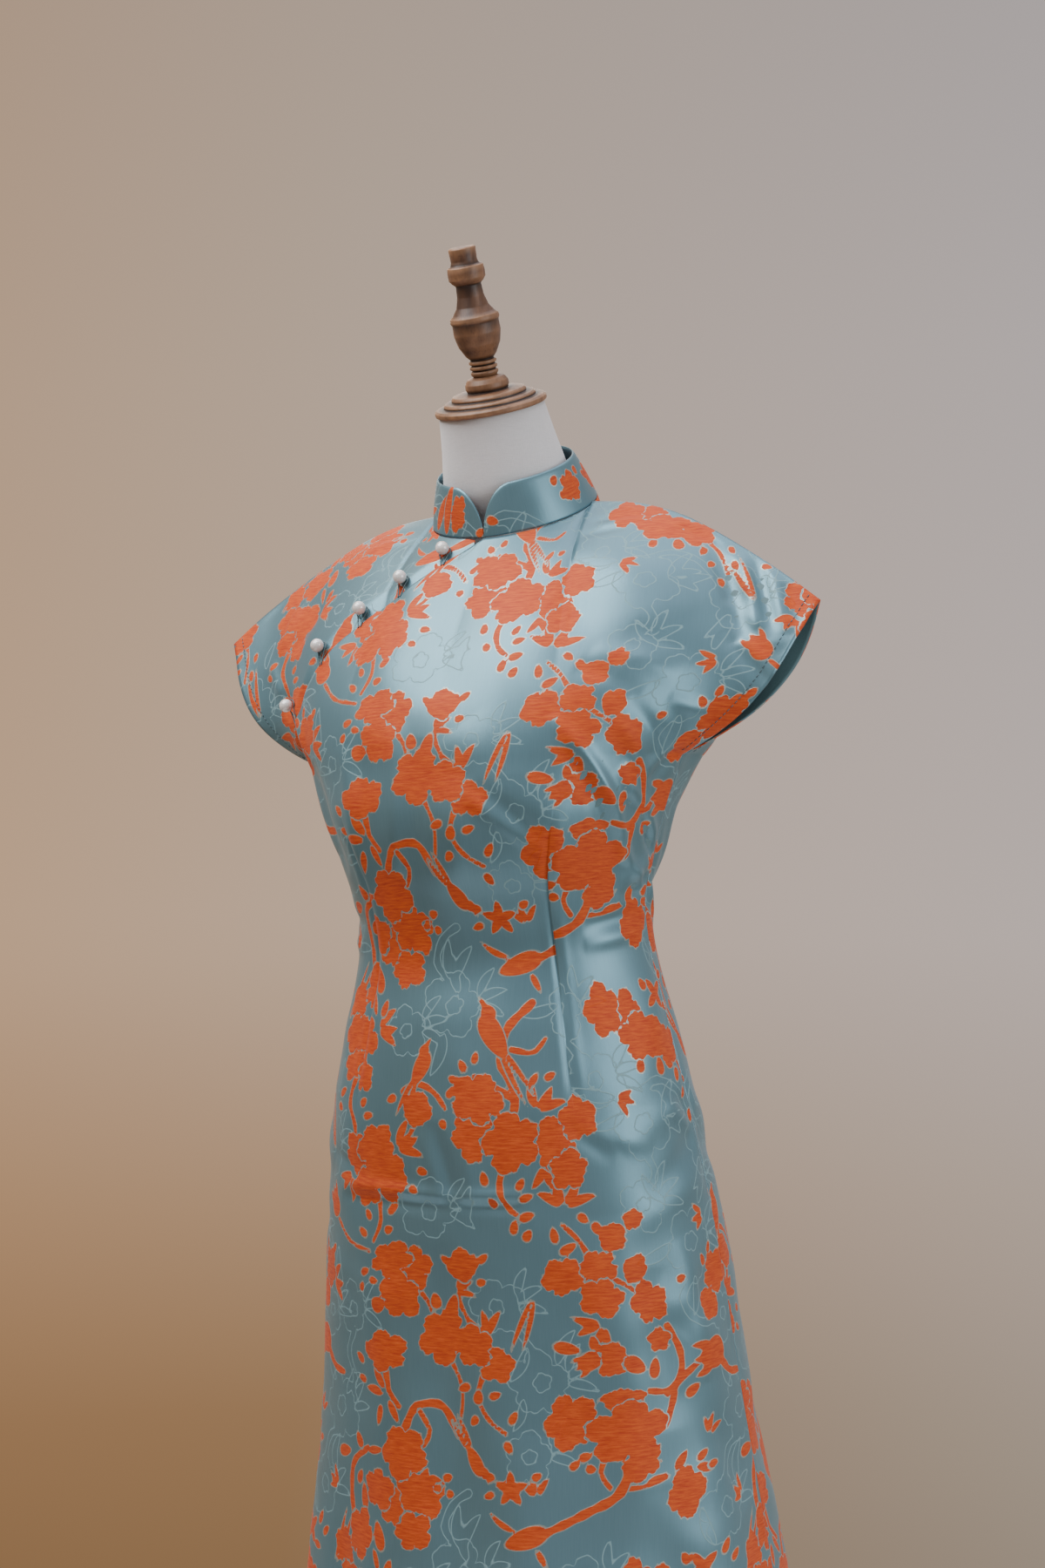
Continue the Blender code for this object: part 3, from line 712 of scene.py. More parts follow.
    def plume(self, x: float, y: float, length: float, turn: float, strands: int = 2) -> None:
        """Draw fine strands that run off together and part towards their tips."""
        for n in range(strands):
            aside = n - (strands - 1) / 2
            reach = length * (1 - 0.16 * abs(aside) - 0.08 * (n % 2))
            c, s = math.cos(math.radians(turn)), math.sin(math.radians(turn))
            px, py = x - 2.3 * aside * s, y + 2.3 * aside * c
            self.leaf(px, py, reach, 4.8, turn + 8 * aside, 1.4 * aside)

    def bird(self, x: float, y: float, size: float, turn: float, flip: float = 1.0) -> None:
        """Draw a small long-tailed bird."""
        c, s = math.cos(math.radians(turn)), math.sin(math.radians(turn))

        def at(a: float, b: float) -> tuple[float, float]:
            """Turn the bird's own places into places of the repeat."""
            return x + (a * c - b * flip * s) * size, y + (a * s + b * flip * c) * size

        self.oval(*at(0, 0), size * 0.92, size * 0.42, turn + 180)
        self.oval(*at(0.44, 0.12), size * 0.34, size * 0.28, turn)
        self.leaf(*at(0.54, 0.14), size * 0.26, size * 0.12, turn - 10 * flip)
        self.plume(*at(-0.28, 0), size * 1.30, turn + 180, 2)


@dataclass(frozen=True)
class Jacquard:
    """The woven repeat: filled figures in three layers and a second drawing in fine lines."""

    width: float = 0.372
    height: float = 0.424

    def figures(self, s: Array, t: Array) -> list[Field]:
        """Draw the filled figures. Each layer is parted from the one above it by a thin line.

        Args:
            s: Places across the flat cloth.
            t: Places up the flat cloth.

        Returns:
            The top, middle and low layers.
        """
        fields = [Field(s, t, self.width, self.height) for _ in range(3)]
        top, middle, low = (Brush(area) for area in fields)
        self.hooked_branch(top, middle, low)
        self.leafy_cluster(top, middle, low)
        self.left_chain(top, middle, low)
        self.perched_bird(top, middle, low)
        self.tall_spray(top, middle, low)
        self.long_branch(top, middle, low)
        self.falling_flowers(top, middle, low)
        return fields

    def hooked_branch(self, top: Brush, middle: Brush, low: Brush) -> None:
        """Draw the great double flower on its hooked branch."""
        top.blossom(128, 236, 25, 8, 0.74, 5)
        top.blossom(138, 214, 14, 30, 0.75)
        middle.blossom(84, 244, 17, 30)
        middle.blossom(124, 262, 14, 0, 0.52)
        top.branch(((130, 214), (120, 192), (98, 180), (68, 166)), 3.0, 2.3)
        middle.branch(((112, 222), (107, 208), (114, 197)), 1.6, 1.4)
        top.oval(52, 161, 34, 15, 200)
        top.leaf(44, 166, 26, 6, 150, 2)
        middle.leaf(60, 154, 17, 6, 300)
        middle.branch(((124, 196), (144, 198), (156, 204)), 1.4, 1.2)
        middle.leaf(140, 198, 21, 8, 12, 1)
        low.leaf(134, 206, 22, 6, 24)
        top.blossom(172, 188, 15, 60, 0.9, 4)
        top.leaf(164, 206, 17, 9, 52)
        middle.leaf(182, 206, 17, 9, 350)
        top.buds(((188, 214, 30), (198, 206, 12)), 12, 6)
        top.buds(((96, 220, 20), (88, 214, 35), (100, 211, 350)), 10, 6.5)
        low.branch(((162, 312), (172, 292), (172, 276), (160, 262)), 2.2, 1.8)
        low.branch(((144, 266), (160, 264), (178, 276), (190, 284)), 1.7, 2.0)
        low.branch(((166, 262), (160, 246), (156, 240)), 2.0, 2.4)
        top.oval(150, 282, 15, 9, 80)
        top.oval(134, 286, 18, 12, 330)
        low.oval(182, 262, 14, 8, 30)
        top.bell(204, 286, 30, 188)
        top.branch(((216, 278), (230, 268), (246, 266)), 2.6, 2.0)

    def leafy_cluster(self, top: Brush, middle: Brush, low: Brush) -> None:
        """Draw the cluster of small flowers and its leafy top."""
        top.blossom(148, 330, 13, 20)
        top.blossom(112, 338, 14, 10, 0.9)
        middle.blossom(108, 360, 13, 40, 0.85)
        top.blossom(82, 352, 12.5, 0)
        top.blossom(156, 302, 8, 30)
        top.shell(134, 350, 15, 62, 48)
        low.fan(112, 318, 22, 8, (168, 204, 244, 282))
        top.oval(176, 346, 8, 6, 20)
        low.branch(((118, 352), (132, 344), (140, 338)), 1.5, 1.3)
        top.bell(100, 290, 17, 210)
        top.oval(84, 300, 20, 9, 350)
        middle.oval(104, 304, 11, 7, 100)
        middle.shell(112, 284, 17, 60, 62)
        low.branch(((104, 366), (96, 380), (84, 392)), 1.6, 1.3)
        low.fan(86, 404, 24, 9, (20, 62, 102, 150))
        places = (
            (58, 398, 20), (48, 390, 80), (58, 384, 60),
            (78, 384, 100), (110, 388, 300), (100, 396, 320),
        )
        top.buds(places, 12, 7)
        top.shell(116, 386, 14, 320, 60)
        middle.blossom(138, 394, 7, 0, 0.9)
        top.oval(88, 374, 14, 7, 30)

    def left_chain(self, top: Brush, middle: Brush, low: Brush) -> None:
        """Draw the chain of flowers that ends in a budding twig."""
        top.blossom(134, 124, 17, 80, 0.72)
        top.blossom(162, 104, 17, 20, 0.95)
        middle.blossom(152, 124, 12, 0)
        top.blossom(190, 94, 14, 50, 0.9)
        top.open_flower(186, 134, 15, 40, 4)
        top.buds(((206, 146, 60), (216, 138, 40), (172, 142, 120), (202, 124, 350)), 12, 6.5)
        low.branch(((198, 88), (210, 70), (216, 48)), 1.5, 1.0)
        places = (
            (196, 72, 250), (220, 72, 290), (202, 58, 240),
            (222, 54, 290), (210, 40, 270), (190, 80, 200),
        )
        top.buds(places, 11, 6)
        low.oval(176, 80, 13, 9, 100)
        middle.oval(156, 82, 11, 7, 80)

    def perched_bird(self, top: Brush, middle: Brush, low: Brush) -> None:
        """Draw the bird on its branch with the full flowers below."""
        top.bird(34, 108, 40, 122, -1)
        low.branch(((62, 132), (44, 112), (40, 90), (52, 66), (50, 44)), 2.6, 2.4)
        low.branch(((48, 98), (66, 96), (74, 106)), 1.8, 1.2)
        low.branch(((20, 78), (36, 70), (50, 62)), 1.8, 2.2)
        top.blossom(22, 60, 17, 30)
        top.blossom(50, 30, 20, 20, 0.88)
        middle.blossom(18, 34, 16, 0)
        middle.blossom(82, 30, 16, 60, 0.95)
        top.blossom(100, 48, 13, 0)
        top.blossom(92, 8, 13, 30, 0.9)
        low.fan(68, 52, 22, 9, (18, 58, 100))
        low.fan(74, 14, 20, 8, (240, 282, 320))
        top.buds(((10, 86, 120), (20, 92, 80), (2, 76, 150), (66, 76, 60), (78, 78, 30)), 10, 6)
        low.branch(((44, 14), (38, 0), (44, -20), (56, -28)), 2.2, 1.4)
        top.buds(((26, 2, 100), (54, -2, 60), (32, -16, 120), (58, -12, 20)), 11, 6.5)

    def tall_spray(self, top: Brush, middle: Brush, low: Brush) -> None:
        """Draw the tall spray at the other side of the repeat."""
        low.branch(((262, 150), (256, 176), (262, 200), (282, 214)), 2.6, 1.9)
        top.oval(248, 206, 18, 9, 10)
        top.oval(270, 218, 13, 8, 120)
        middle.oval(270, 190, 12, 7, 60)
        middle.oval(276, 176, 20, 9, 95)
        top.blossom(294, 186, 13.5, 10)
        low.leaf(282, 212, 20, 8, 10)
        top.blossom(320, 217, 18, 20, 0.88)
        middle.blossom(334, 190, 17, 0)
        low.blossom(312, 176, 12, 25)
        top.blossom(328, 158, 14, 40, 0.85)
        low.branch(((322, 232), (334, 252), (352, 254), (368, 232)), 2.4, 2.4)
        middle.branch(((336, 248), (344, 232), (338, 222)), 1.6, 1.3)
        top.bird(382, 214, 26, 300, 1)
        top.buds(((358, 200, 20), (350, 192, 60), (360, 188, 0)), 8, 6.5)
        top.blossom(270, 146, 17, 60, 0.8)
        middle.blossom(246, 134, 12, 0)
        top.oval(296, 150, 22, 11, 108)
        low.leaf(290, 140, 20, 7, 290)
        middle.oval(306, 128, 13, 7, 70)
        top.blossom(252, 108, 14, 10)
        top.blossom(280, 106, 16, 40, 0.92)
        low.fan(300, 112, 22, 9, (40, 4, 330))
        middle.blossom(262, 86, 13, 0, 0.9)
        top.blossom(284, 78, 11, 20)
        low.branch(((270, 76), (266, 56), (276, 36), (274, 14)), 2.0, 1.6)
        top.buds(((252, 62, 30), (250, 50, 340), (286, 56, 40), (292, 46, 10)), 11, 6.5)

    def long_branch(self, top: Brush, middle: Brush, low: Brush) -> None:
        """Draw the branch that runs on between the two streams' tops."""
        top.bell(238, 398, 22, 120)
        low.branch(((246, 386), (264, 372), (292, 366)), 1.4, 1.2)
        top.blossom(312, 362, 17, 10, 0.62)
        middle.blossom(334, 356, 16, 70, 0.85)
        top.blossom(322, 336, 15, 40)
        top.buds(((286, 350, 20), (296, 344, 350), (282, 338, 60)), 10, 6)
        top.oval(300, 326, 14, 12, 20)
        low.branch(((336, 342), (346, 330), (350, 320)), 1.5, 1.5)
        top.blossom(356, 306, 18, 10, 0.95)
        top.buds(((352, 332, 100), (366, 326, 60)), 12, 9)
        low.branch(((362, 290), (372, 268), (370, 244)), 1.5, 1.0)
        top.oval(386, 262, 11, 8, 80)
        top.blossom(306, 290, 17, 0, 0.8, 5)
        low.branch(((306, 276), (308, 262), (318, 250)), 2.4, 1.6)
        middle.leaf(304, 262, 22, 9, 120, 1)
        low.leaf(302, 258, 21, 9, 175, -1)
        middle.leaf(308, 254, 20, 8, 300)
        low.leaf(300, 250, 18, 8, 258)
        top.buds(((274, 282, 150), (276, 266, 170), (286, 292, 130)), 12, 6.5)

    def falling_flowers(self, top: Brush, middle: Brush, low: Brush) -> None:
        """Draw the flowers that fall at the foot of the second stream."""
        top.blossom(300, 24, 17, 30, 0.9)
        middle.blossom(278, 16, 13, 0)
        top.blossom(316, 2, 15, 10)
        top.blossom(288, -10, 14, 50, 0.9)
        low.fan(322, 22, 24, 9, (62, 26, 350))
        low.fan(272, 0, 20, 8, (188, 224, 262))
        low.branch(((300, -14), (304, -34), (296, -50)), 1.8, 1.2)
        places = (
            (316, -24, 40), (290, -30, 130), (312, -40, 20),
            (284, -44, 150), (346, 6, 350), (338, -8, 330),
        )
        top.buds(places, 11, 6.5)
        top.shell(340, 44, 18, 70, 55)
        low.branch(((342, 46), (336, 34), (326, 26)), 1.6, 1.4)
        top.bird(346, 84, 30, 62, 1)
        low.branch(((330, 66), (344, 72), (358, 66), (368, 54)), 2.2, 1.4)
        top.buds(((318, 60, 200), (372, 66, 60), (366, 42, 300)), 10, 6.5)
        top.blossom(222, 344, 14, 30, 0.9)
        middle.shell(212, 330, 17, 235, 55)
        low.fan(232, 336, 20, 8, (320, 0, 40))
        top.buds(((204, 356, 120), (214, 364, 80), (236, 362, 50)), 10, 6)
        top.blossom(10, 300, 14, 20, 0.9)
        middle.blossom(30, 288, 12, 0)
        low.fan(22, 306, 22, 8, (60, 98, 136))
        low.branch(((20, 282), (14, 262), (24, 244), (36, 236)), 1.8, 1.2)
        top.buds(((2, 268, 200), (28, 264, 20), (10, 244, 230), (42, 248, 60), (38, 226, 300)), 11, 6.5)
        top.oval(-6, 328, 20, 10, 70)
        top.shell(6, 352, 17, 100, 60)
        low.branch(((6, 352), (0, 336), (8, 318)), 1.5, 1.4)
        top.buds(((22, 366, 40), (-10, 364, 140), (20, 348, 10)), 10, 6)
        middle.plume(232, 118, 58, 64)
        low.plume(60, 336, 48, 250)
        low.plume(236, 16, 54, 108)
        sprigs = (
            (196, 226, 70), (60, 190, 100), (236, 176, 150),
            (370, 340, 30), (130, 60, 340), (210, 390, 190),
        )
        for x, y, turn in sprigs:
            low.fan(x, y, 15, 6, (turn, turn + 38, turn - 40))
        top.open_flower(40, 196, 14, 20, 5)
        top.buds(((22, 204, 160), (22, 190, 200), (60, 206, 30)), 10, 6)

    def collar_figures(self, run: Array, lift: Array, girth: float) -> list[Field]:
        """Draw the few figures that fall on the collar.

        Args:
            run: Places round the collar from centre front, to the wearer's left.
            lift: Heights above its seam.
            girth: The whole way round.

        Returns:
            The top, middle and low layers.
        """
        fields = [Field(run, lift, girth, 0.2) for _ in range(3)]
        top, middle, low = (Brush(area) for area in fields)
        end = girth * 1000
        top.leaf(end - 40, 2, 42, 13, 78, 2)
        middle.blossom(end - 25, 20, 13, 80, 0.55)
        low.leaf(end - 56, 3, 34, 12, 60, 2)
        top.oval(end - 3, 4, 8, 6, 40)
        top.oval(9, 12, 10, 7, 340)
        top.blossom(88, 22, 10, 0)
        top.buds(((72, 30, 30), (76, 17, 350), (104, 30, 40)), 9, 7)
        for x, y, r in ((136, 16, 12), (196, 24, 13), (240, 12, 11), (300, 22, 13), (334, 14, 9)):
            top.blossom(x, y, r, x, 0.9)
            low.leaf(x + 9, y - 2, 22, 8, 20)
            top.oval(x - 17, y + 6, 11, 7, 150)
        return fields

    def line_fields(self, s: Array, t: Array) -> tuple[Array, Array]:
        """Draw the second drawing, whose edges show as fine lines.

        Args:
            s: Places across the flat cloth.
            t: Places up the flat cloth.

        Returns:
            Two fields whose zero lines are the drawn lines.
        """
        fields = [Field(s, t, self.width, self.height) for _ in range(2)]
        flowers, leaves = (Brush(area) for area in fields)
        for x, y, r, turn in (
            (226, 20, 24, 10), (240, 240, 22, 40), (150, 40, 22, 0), (30, 330, 18, 20),
            (190, 372, 22, 0), (210, 172, 20, 30), (372, 130, 20, 10), (266, 318, 17, 0),
            (64, 274, 20, 15), (116, 74, 18, 0), (146, 404, 16, 20), (348, 400, 20, 0),
            (96, 128, 18, 40), (330, 112, 16, 0), (54, 220, 16, 10), (226, 312, 15, 30),
        ):
            flowers.blossom(x, y, r, turn)
            leaves.blossom(x + 1, y, r * 0.30, turn)
            for n in range(3):
                leaves.leaf(x + r, y + 4 * n, 24, 9, turn + 40 * n - 30, 2)
        for x, y, length, turn in (
            (170, 40, 34, 60), (176, 34, 30, 20), (196, 148, 32, 110), (226, 190, 30, 64),
            (130, 60, 34, 165), (136, 48, 30, 200), (240, 60, 28, 85), (54, 300, 30, 240),
            (10, 390, 32, 80), (170, 372, 34, 200), (190, 346, 30, 260), (250, 250, 30, 40),
            (230, 256, 30, 120), (368, 150, 32, 90), (366, 110, 34, 250), (250, 336, 30, 100),
            (204, 398, 30, 60), (166, 404, 30, 130), (82, 130, 32, 190), (76, 288, 30, 60),
            (50, 262, 26, 250), (216, 8, 30, 230), (0, 150, 30, 60), (4, 140, 30, 100),
        ):
            leaves.leaf(x, y, length, length * 0.34, turn, 2.5)
        for path in (
            ((150, 62), (168, 70), (190, 62), (206, 42), (214, 30)),
            ((210, 192), (222, 214), (236, 220), (240, 230)),
            ((190, 350), (176, 330), (190, 312), (210, 310)),
            ((60, 294), (48, 312), (40, 322)),
            ((370, 146), (356, 164), (366, 184), (376, 190)),
            ((266, 302), (256, 284), (264, 262), (254, 250)),
            ((110, 90), (100, 104), (96, 112)),
            ((150, 20), (160, 0), (150, -12)),
        ):
            flowers.branch(path, 2.3, 2.3)
        return tuple(area.value for area in fields)


# ---------------------------------------------------------------- finishes


class Nodes:
    """A small helper that wires a material's node tree."""

    def __init__(self, name: str) -> None:
        """Start a material with one Principled shader."""
        self.material = bpy.data.materials.new(name)
        self.material.use_nodes = True
        self.tree = self.material.node_tree
        self.shader = self.tree.nodes["Principled BSDF"]

    def node(self, kind: str, **values: object) -> bpy.types.Node:
        """Add a node and set its properties.

        Args:
            kind: The node's type name.
            **values: Its properties.

        Returns:
            The node.
        """
        made = self.tree.nodes.new(kind)
        for key, value in values.items():
            setattr(made, key, value)
        return made

    def link(self, source: Socket, target: Socket) -> None:
        """Join two sockets."""
        self.tree.links.new(source, target)

    def set(self, **values: object) -> None:
        """Set constants on the shader's own sockets, with underscores for spaces."""
        for key, value in values.items():
            self.shader.inputs[key.replace("_", " ")].default_value = value

    def math(self, operation: str, a: object, b: object = 0.0, clamp: bool = False) -> Socket:
        """Add a Math node.

        Args:
            operation: Its operation.
            a: First socket or number.
            b: Second socket or number.
            clamp: Whether to clamp to 0 to 1.

        Returns:
            The result's socket.
        """
        made = self.node("ShaderNodeMath", operation=operation, use_clamp=clamp)
        for place, value in enumerate((a, b)):
            if isinstance(value, Socket):
                self.link(value, made.inputs[place])
            else:
                made.inputs[place].default_value = value
        return made.outputs[0]

    def mix(self, share: object, a: object, b: object, blend: str = "MIX") -> Socket:
        """Mix two colours.

        Args:
            share: Socket or number.
            a: First colour or socket.
            b: Second colour or socket.
            blend: How to mix.

        Returns:
            The result's socket.
        """
        made = self.node("ShaderNodeMix", data_type="RGBA", blend_type=blend)
        for socket, value in ((made.inputs[0], share), (made.inputs[6], a), (made.inputs[7], b)):
            if isinstance(value, Socket):
                self.link(value, socket)
            else:
                socket.default_value = value if isinstance(value, float) else (*value, 1)
        return made.outputs[2]

    def attribute(self, name: str) -> Socket:
        """Read a number stored on the mesh."""
        return self.node("ShaderNodeAttribute", attribute_name=name).outputs["Fac"]

    def cloth_place(self, scale: Triple) -> Socket:
        """Read the flat cloth's place, in metres, scaled."""
        uv = self.node("ShaderNodeUVMap", uv_map="cloth")
        mapping = self.node("ShaderNodeMapping")
        mapping.inputs["Scale"].default_value = scale
        self.link(uv.outputs[0], mapping.inputs["Vector"])
        return mapping.outputs[0]

    def object_place(self, scale: Triple, turn: Triple = (0, 0, 0)) -> Socket:
        """Read the place in the object's own axes, turned and scaled."""
        where = self.node("ShaderNodeTexCoord")
        mapping = self.node("ShaderNodeMapping")
        mapping.inputs["Scale"].default_value = scale
        mapping.inputs["Rotation"].default_value = turn
        self.link(where.outputs["Object"], mapping.inputs["Vector"])
        return mapping.outputs[0]

    def noise(self, place: Socket, scale: float, detail: float = 3.0, rough: float = 0.5) -> Socket:
        """Add a Noise texture and give its strength socket."""
        made = self.node("ShaderNodeTexNoise")
        made.inputs["Scale"].default_value = scale
        made.inputs["Detail"].default_value = detail
        made.inputs["Roughness"].default_value = rough
        self.link(place, made.inputs["Vector"])
        return made.outputs["Fac"]

    def bump(self, height: Socket, distance: float, strength: float = 1.0) -> None:
        """Send a height to the shader's normal."""
        made = self.node("ShaderNodeBump")
        made.inputs["Strength"].default_value = strength
        made.inputs["Distance"].default_value = distance
        self.link(height, made.inputs["Height"])
        self.link(made.outputs[0], self.shader.inputs["Normal"])


@dataclass(frozen=True)
class SatinJacquard:
    """Teal satin ground with raised orange figures, pale edges and a fine line drawing."""

    ground: Triple = (0.165, 0.300, 0.360)
    ground_deep: Triple = (0.112, 0.222, 0.262)
    figure: Triple = (0.700, 0.118, 0.012)
    figure_deep: Triple = (0.430, 0.036, 0.006)
    edge: Triple = (0.400, 0.420, 0.360)
    line: Triple = (0.215, 0.355, 0.375)
    edge_width: float = 0.00085
    parting: float = 0.0010
    frill_pace: float = 240.0
    frill_depth: float = 0.0018
    line_width: float = 0.00050

    def build(self, name: str = "satin_jacquard") -> Material:
        """Make the material.

        Args:
            name: The material's name.

        Returns:
            The material.
        """
        n = Nodes(name)
        ragged = n.noise(n.cloth_place((1, 1, 1)), 1100, 1)
        shift = n.math("MULTIPLY", n.math("SUBTRACT", ragged, 0.5), 0.0006)
        cells = n.node("ShaderNodeTexVoronoi", voronoi_dimensions="2D")
        cells.inputs["Scale"].default_value = self.frill_pace
        n.link(n.cloth_place((1, 1, 1)), cells.inputs["Vector"])
        scallop = n.math("MULTIPLY", n.math("SUBTRACT", 0.40, cells.outputs["Distance"]), self.frill_depth)
        shift = n.math("ADD", shift, n.math("MULTIPLY", scallop, n.attribute("frill")))
        upper = n.attribute("figure_top")
        parted = n.math("SUBTRACT", n.math("MULTIPLY", upper, -1.0), self.parting)
        both = n.math("MAXIMUM", upper, n.math("MINIMUM", n.attribute("figure_middle"), parted))
        parted = n.math("SUBTRACT", n.math("MULTIPLY", both, -1.0), self.parting)
        whole = n.math("MAXIMUM", both, n.math("MINIMUM", n.attribute("figure_low"), parted))
        inside = n.math("ADD", whole, shift)
        orange = n.math("MULTIPLY", n.math("ADD", inside, 0.00012), 4000, True)
        rim = n.math("MULTIPLY", n.math("ADD", inside, self.edge_width), 3000, True)
        lines = []
        for drawing in LINES:
            away = n.math("ABSOLUTE", n.attribute(drawing))
            lines.append(n.math("SUBTRACT", 1.25, n.math("DIVIDE", away, self.line_width), True))
        line = n.math("MAXIMUM", *lines)
        cloudy = n.noise(n.cloth_place((1, 1, 1)), 9, 3)
        slub = n.noise(n.cloth_place((85, 620, 1)), 1, 3, 0.65)
        slub = n.math("MULTIPLY", n.math("SUBTRACT", slub, 0.30), 2.2, True)
        streak = n.noise(n.cloth_place((1150, 46, 1)), 1, 2)
        cloudy = n.math("ADD", n.math("MULTIPLY", cloudy, 0.6), n.math("MULTIPLY", streak, 0.5), True)
        ground = n.mix(cloudy, self.ground_deep, self.ground)
        ground = n.mix(n.math("MULTIPLY", line, 0.85), ground, self.line)
        ground = n.mix(n.math("MULTIPLY", rim, 0.85), ground, self.edge)
        ribbed = n.mix(slub, self.figure_deep, self.figure)
        colour = n.mix(orange, ground, ribbed)
        n.link(colour, n.shader.inputs["Base Color"])
        gloss = n.math("ADD", 0.40, n.math("MULTIPLY", orange, 0.25))
        gloss = n.math("ADD", gloss, n.math("MULTIPLY", line, 0.25))
        n.link(gloss, n.shader.inputs["Roughness"])
        metal = n.math("SUBTRACT", 0.60, n.math("MULTIPLY", orange, 0.50))
        metal = n.math("SUBTRACT", metal, n.math("MULTIPLY", line, 0.50), True)
        n.link(metal, n.shader.inputs["Metallic"])
        n.set(Specular_IOR_Level=0.38)
        n.set(Sheen_Weight=0.06, Sheen_Roughness=0.4, Sheen_Tint=(0.80, 0.92, 1.0, 1.0))
        warp = n.noise(n.cloth_place((2600, 420, 1)), 1, 2)
        ribs = n.math("MULTIPLY", slub, n.math("MULTIPLY", orange, 0.5))
        relief = n.math("ADD", n.math("MULTIPLY", orange, 0.55), ribs)
        relief = n.math("ADD", relief, n.math("MULTIPLY", n.math("ADD", warp, streak), 0.15))
        relief = n.math("ADD", relief, n.math("MULTIPLY", line, 0.35))
        n.bump(relief, 0.00022, 0.8)
        return n.material


@dataclass(frozen=True)
class SatinWrongSide:
    """The plain underside of the satin, seen inside the sleeves and at the hem."""

    colour: Triple = (0.105, 0.205, 0.225)

    def build(self) -> Material:
        """Make the material."""
        n = Nodes("satin_wrong_side")
        weave = n.noise(n.cloth_place((900, 900, 1)), 1, 2)
        dull = tuple(c * 0.75 for c in self.colour)
        n.link(n.mix(weave, dull, self.colour), n.shader.inputs["Base Color"])
        n.set(Roughness=0.55, Sheen_Weight=0.15, Sheen_Roughness=0.5)
        n.bump(weave, 0.0001, 0.6)
        return n.material


@dataclass(frozen=True)
class Thread:
    """Sewing thread and button loops."""

    name: str = "thread_teal"
    colour: Triple = (0.050, 0.105, 0.120)

    def build(self) -> Material:
        """Make the material."""
        n = Nodes(self.name)
        twist = n.noise(n.object_place((2500, 2500, 900)), 1, 2)
        n.link(n.mix(twist, tuple(c * 0.6 for c in self.colour), self.colour), n.shader.inputs["Base Color"])
        n.set(Roughness=0.5, Sheen_Weight=0.2)
        n.bump(twist, 0.00008, 0.8)
        return n.material


@dataclass(frozen=True)
class PearlFinish:
    """Glossy pearl with a soft warm body."""

    colour: Triple = (0.88, 0.86, 0.83)

    def build(self) -> Material:
        """Make the material."""
        n = Nodes("pearl")
        cloud = n.noise(n.object_place((1, 1, 1)), 260, 3)
        n.link(n.mix(cloud, tuple(c * 0.86 for c in self.colour), self.colour), n.shader.inputs["Base Color"])
        n.set(Roughness=0.18, Metallic=0.10, Specular_IOR_Level=0.7)
        n.set(Coat_Weight=1.0, Coat_Roughness=0.05, Subsurface_Weight=0.10)
        n.shader.inputs["Subsurface Radius"].default_value = (0.004, 0.003, 0.002)
        n.bump(cloud, 0.00004, 0.4)
        return n.material


@dataclass(frozen=True)
class Linen:
    """Plain white linen stretched over the form."""

    colour: Triple = (0.79, 0.785, 0.80)

    def build(self) -> Material:
        """Make the material."""
        n = Nodes("linen_white")
        weft = n.noise(n.object_place((120, 120, 1500)), 1, 3)
        warp = n.noise(n.object_place((1300, 1300, 110)), 1, 3)
        weave = n.math("ADD", n.math("MULTIPLY", weft, 0.5), n.math("MULTIPLY", warp, 0.5))
        tone = n.noise(n.object_place((1, 1, 1)), 14, 4)
        dull = tuple(c * 0.80 for c in self.colour)
        thread = n.mix(n.math("MULTIPLY", n.math("SUBTRACT", weave, 0.25), 1.6, True), dull, self.colour)
        worn = n.mix(n.math("MULTIPLY", tone, 0.25), thread, (0.70, 0.67, 0.64))
        n.link(worn, n.shader.inputs["Base Color"])
        n.set(Roughness=0.88, Sheen_Weight=0.25, Sheen_Roughness=0.6)
        n.bump(weave, 0.00035, 0.7)
        return n.material


@dataclass(frozen=True)
class Walnut:
    """Turned wood with a dark stain rubbed back on its high places, and near-black painted shade in the
    hollows of the turning.
    """

    light: Triple = (0.250, 0.118, 0.058)
    dark: Triple = (0.045, 0.018, 0.010)

    def build(self, name: str = "walnut", turn: Triple = (0, 0, 0)) -> Material:
        """Make the material.

        Args:
            name: The material's name.
            turn: Turn that brings the piece's axis onto Z, in radians.

        Returns:
            The material.
        """
        n = Nodes(name)
        grain = n.noise(n.object_place((70, 70, 9), turn), 1, 5, 0.6)
        pores = n.noise(n.object_place((900, 900, 60), turn), 1, 2)
        figure = n.math("MULTIPLY", n.math("SUBTRACT", grain, 0.32), 2.4, True)
        body = n.mix(figure, self.dark, self.light)
        body = n.mix(n.math("MULTIPLY", n.math("SUBTRACT", pores, 0.55), 3.0, True), body, self.dark)
        worn = n.math("MULTIPLY", n.attribute("edge_wear"), n.noise(n.object_place((1, 1, 1)), 160, 3))
        body = n.mix(n.math("MULTIPLY", worn, 1.2, True), body, (0.36, 0.19, 0.095))
        # Painted shade: the hollows of the turning are darkened to near black.
        body = n.mix(n.math("MULTIPLY", n.attribute("recess_shade"), 1.15, True), body, (0.022, 0.010, 0.006))
        n.link(body, n.shader.inputs["Base Color"])
        n.link(n.math("ADD", 0.38, n.math("MULTIPLY", pores, 0.22)), n.shader.inputs["Roughness"])
        n.set(Specular_IOR_Level=0.42, Coat_Weight=0.12, Coat_Roughness=0.35)
        n.bump(n.math("ADD", n.math("MULTIPLY", pores, 0.5), n.math("MULTIPLY", grain, 0.6)), 0.0003, 0.6)
        return n.material


# ---------------------------------------------------------------- meshes


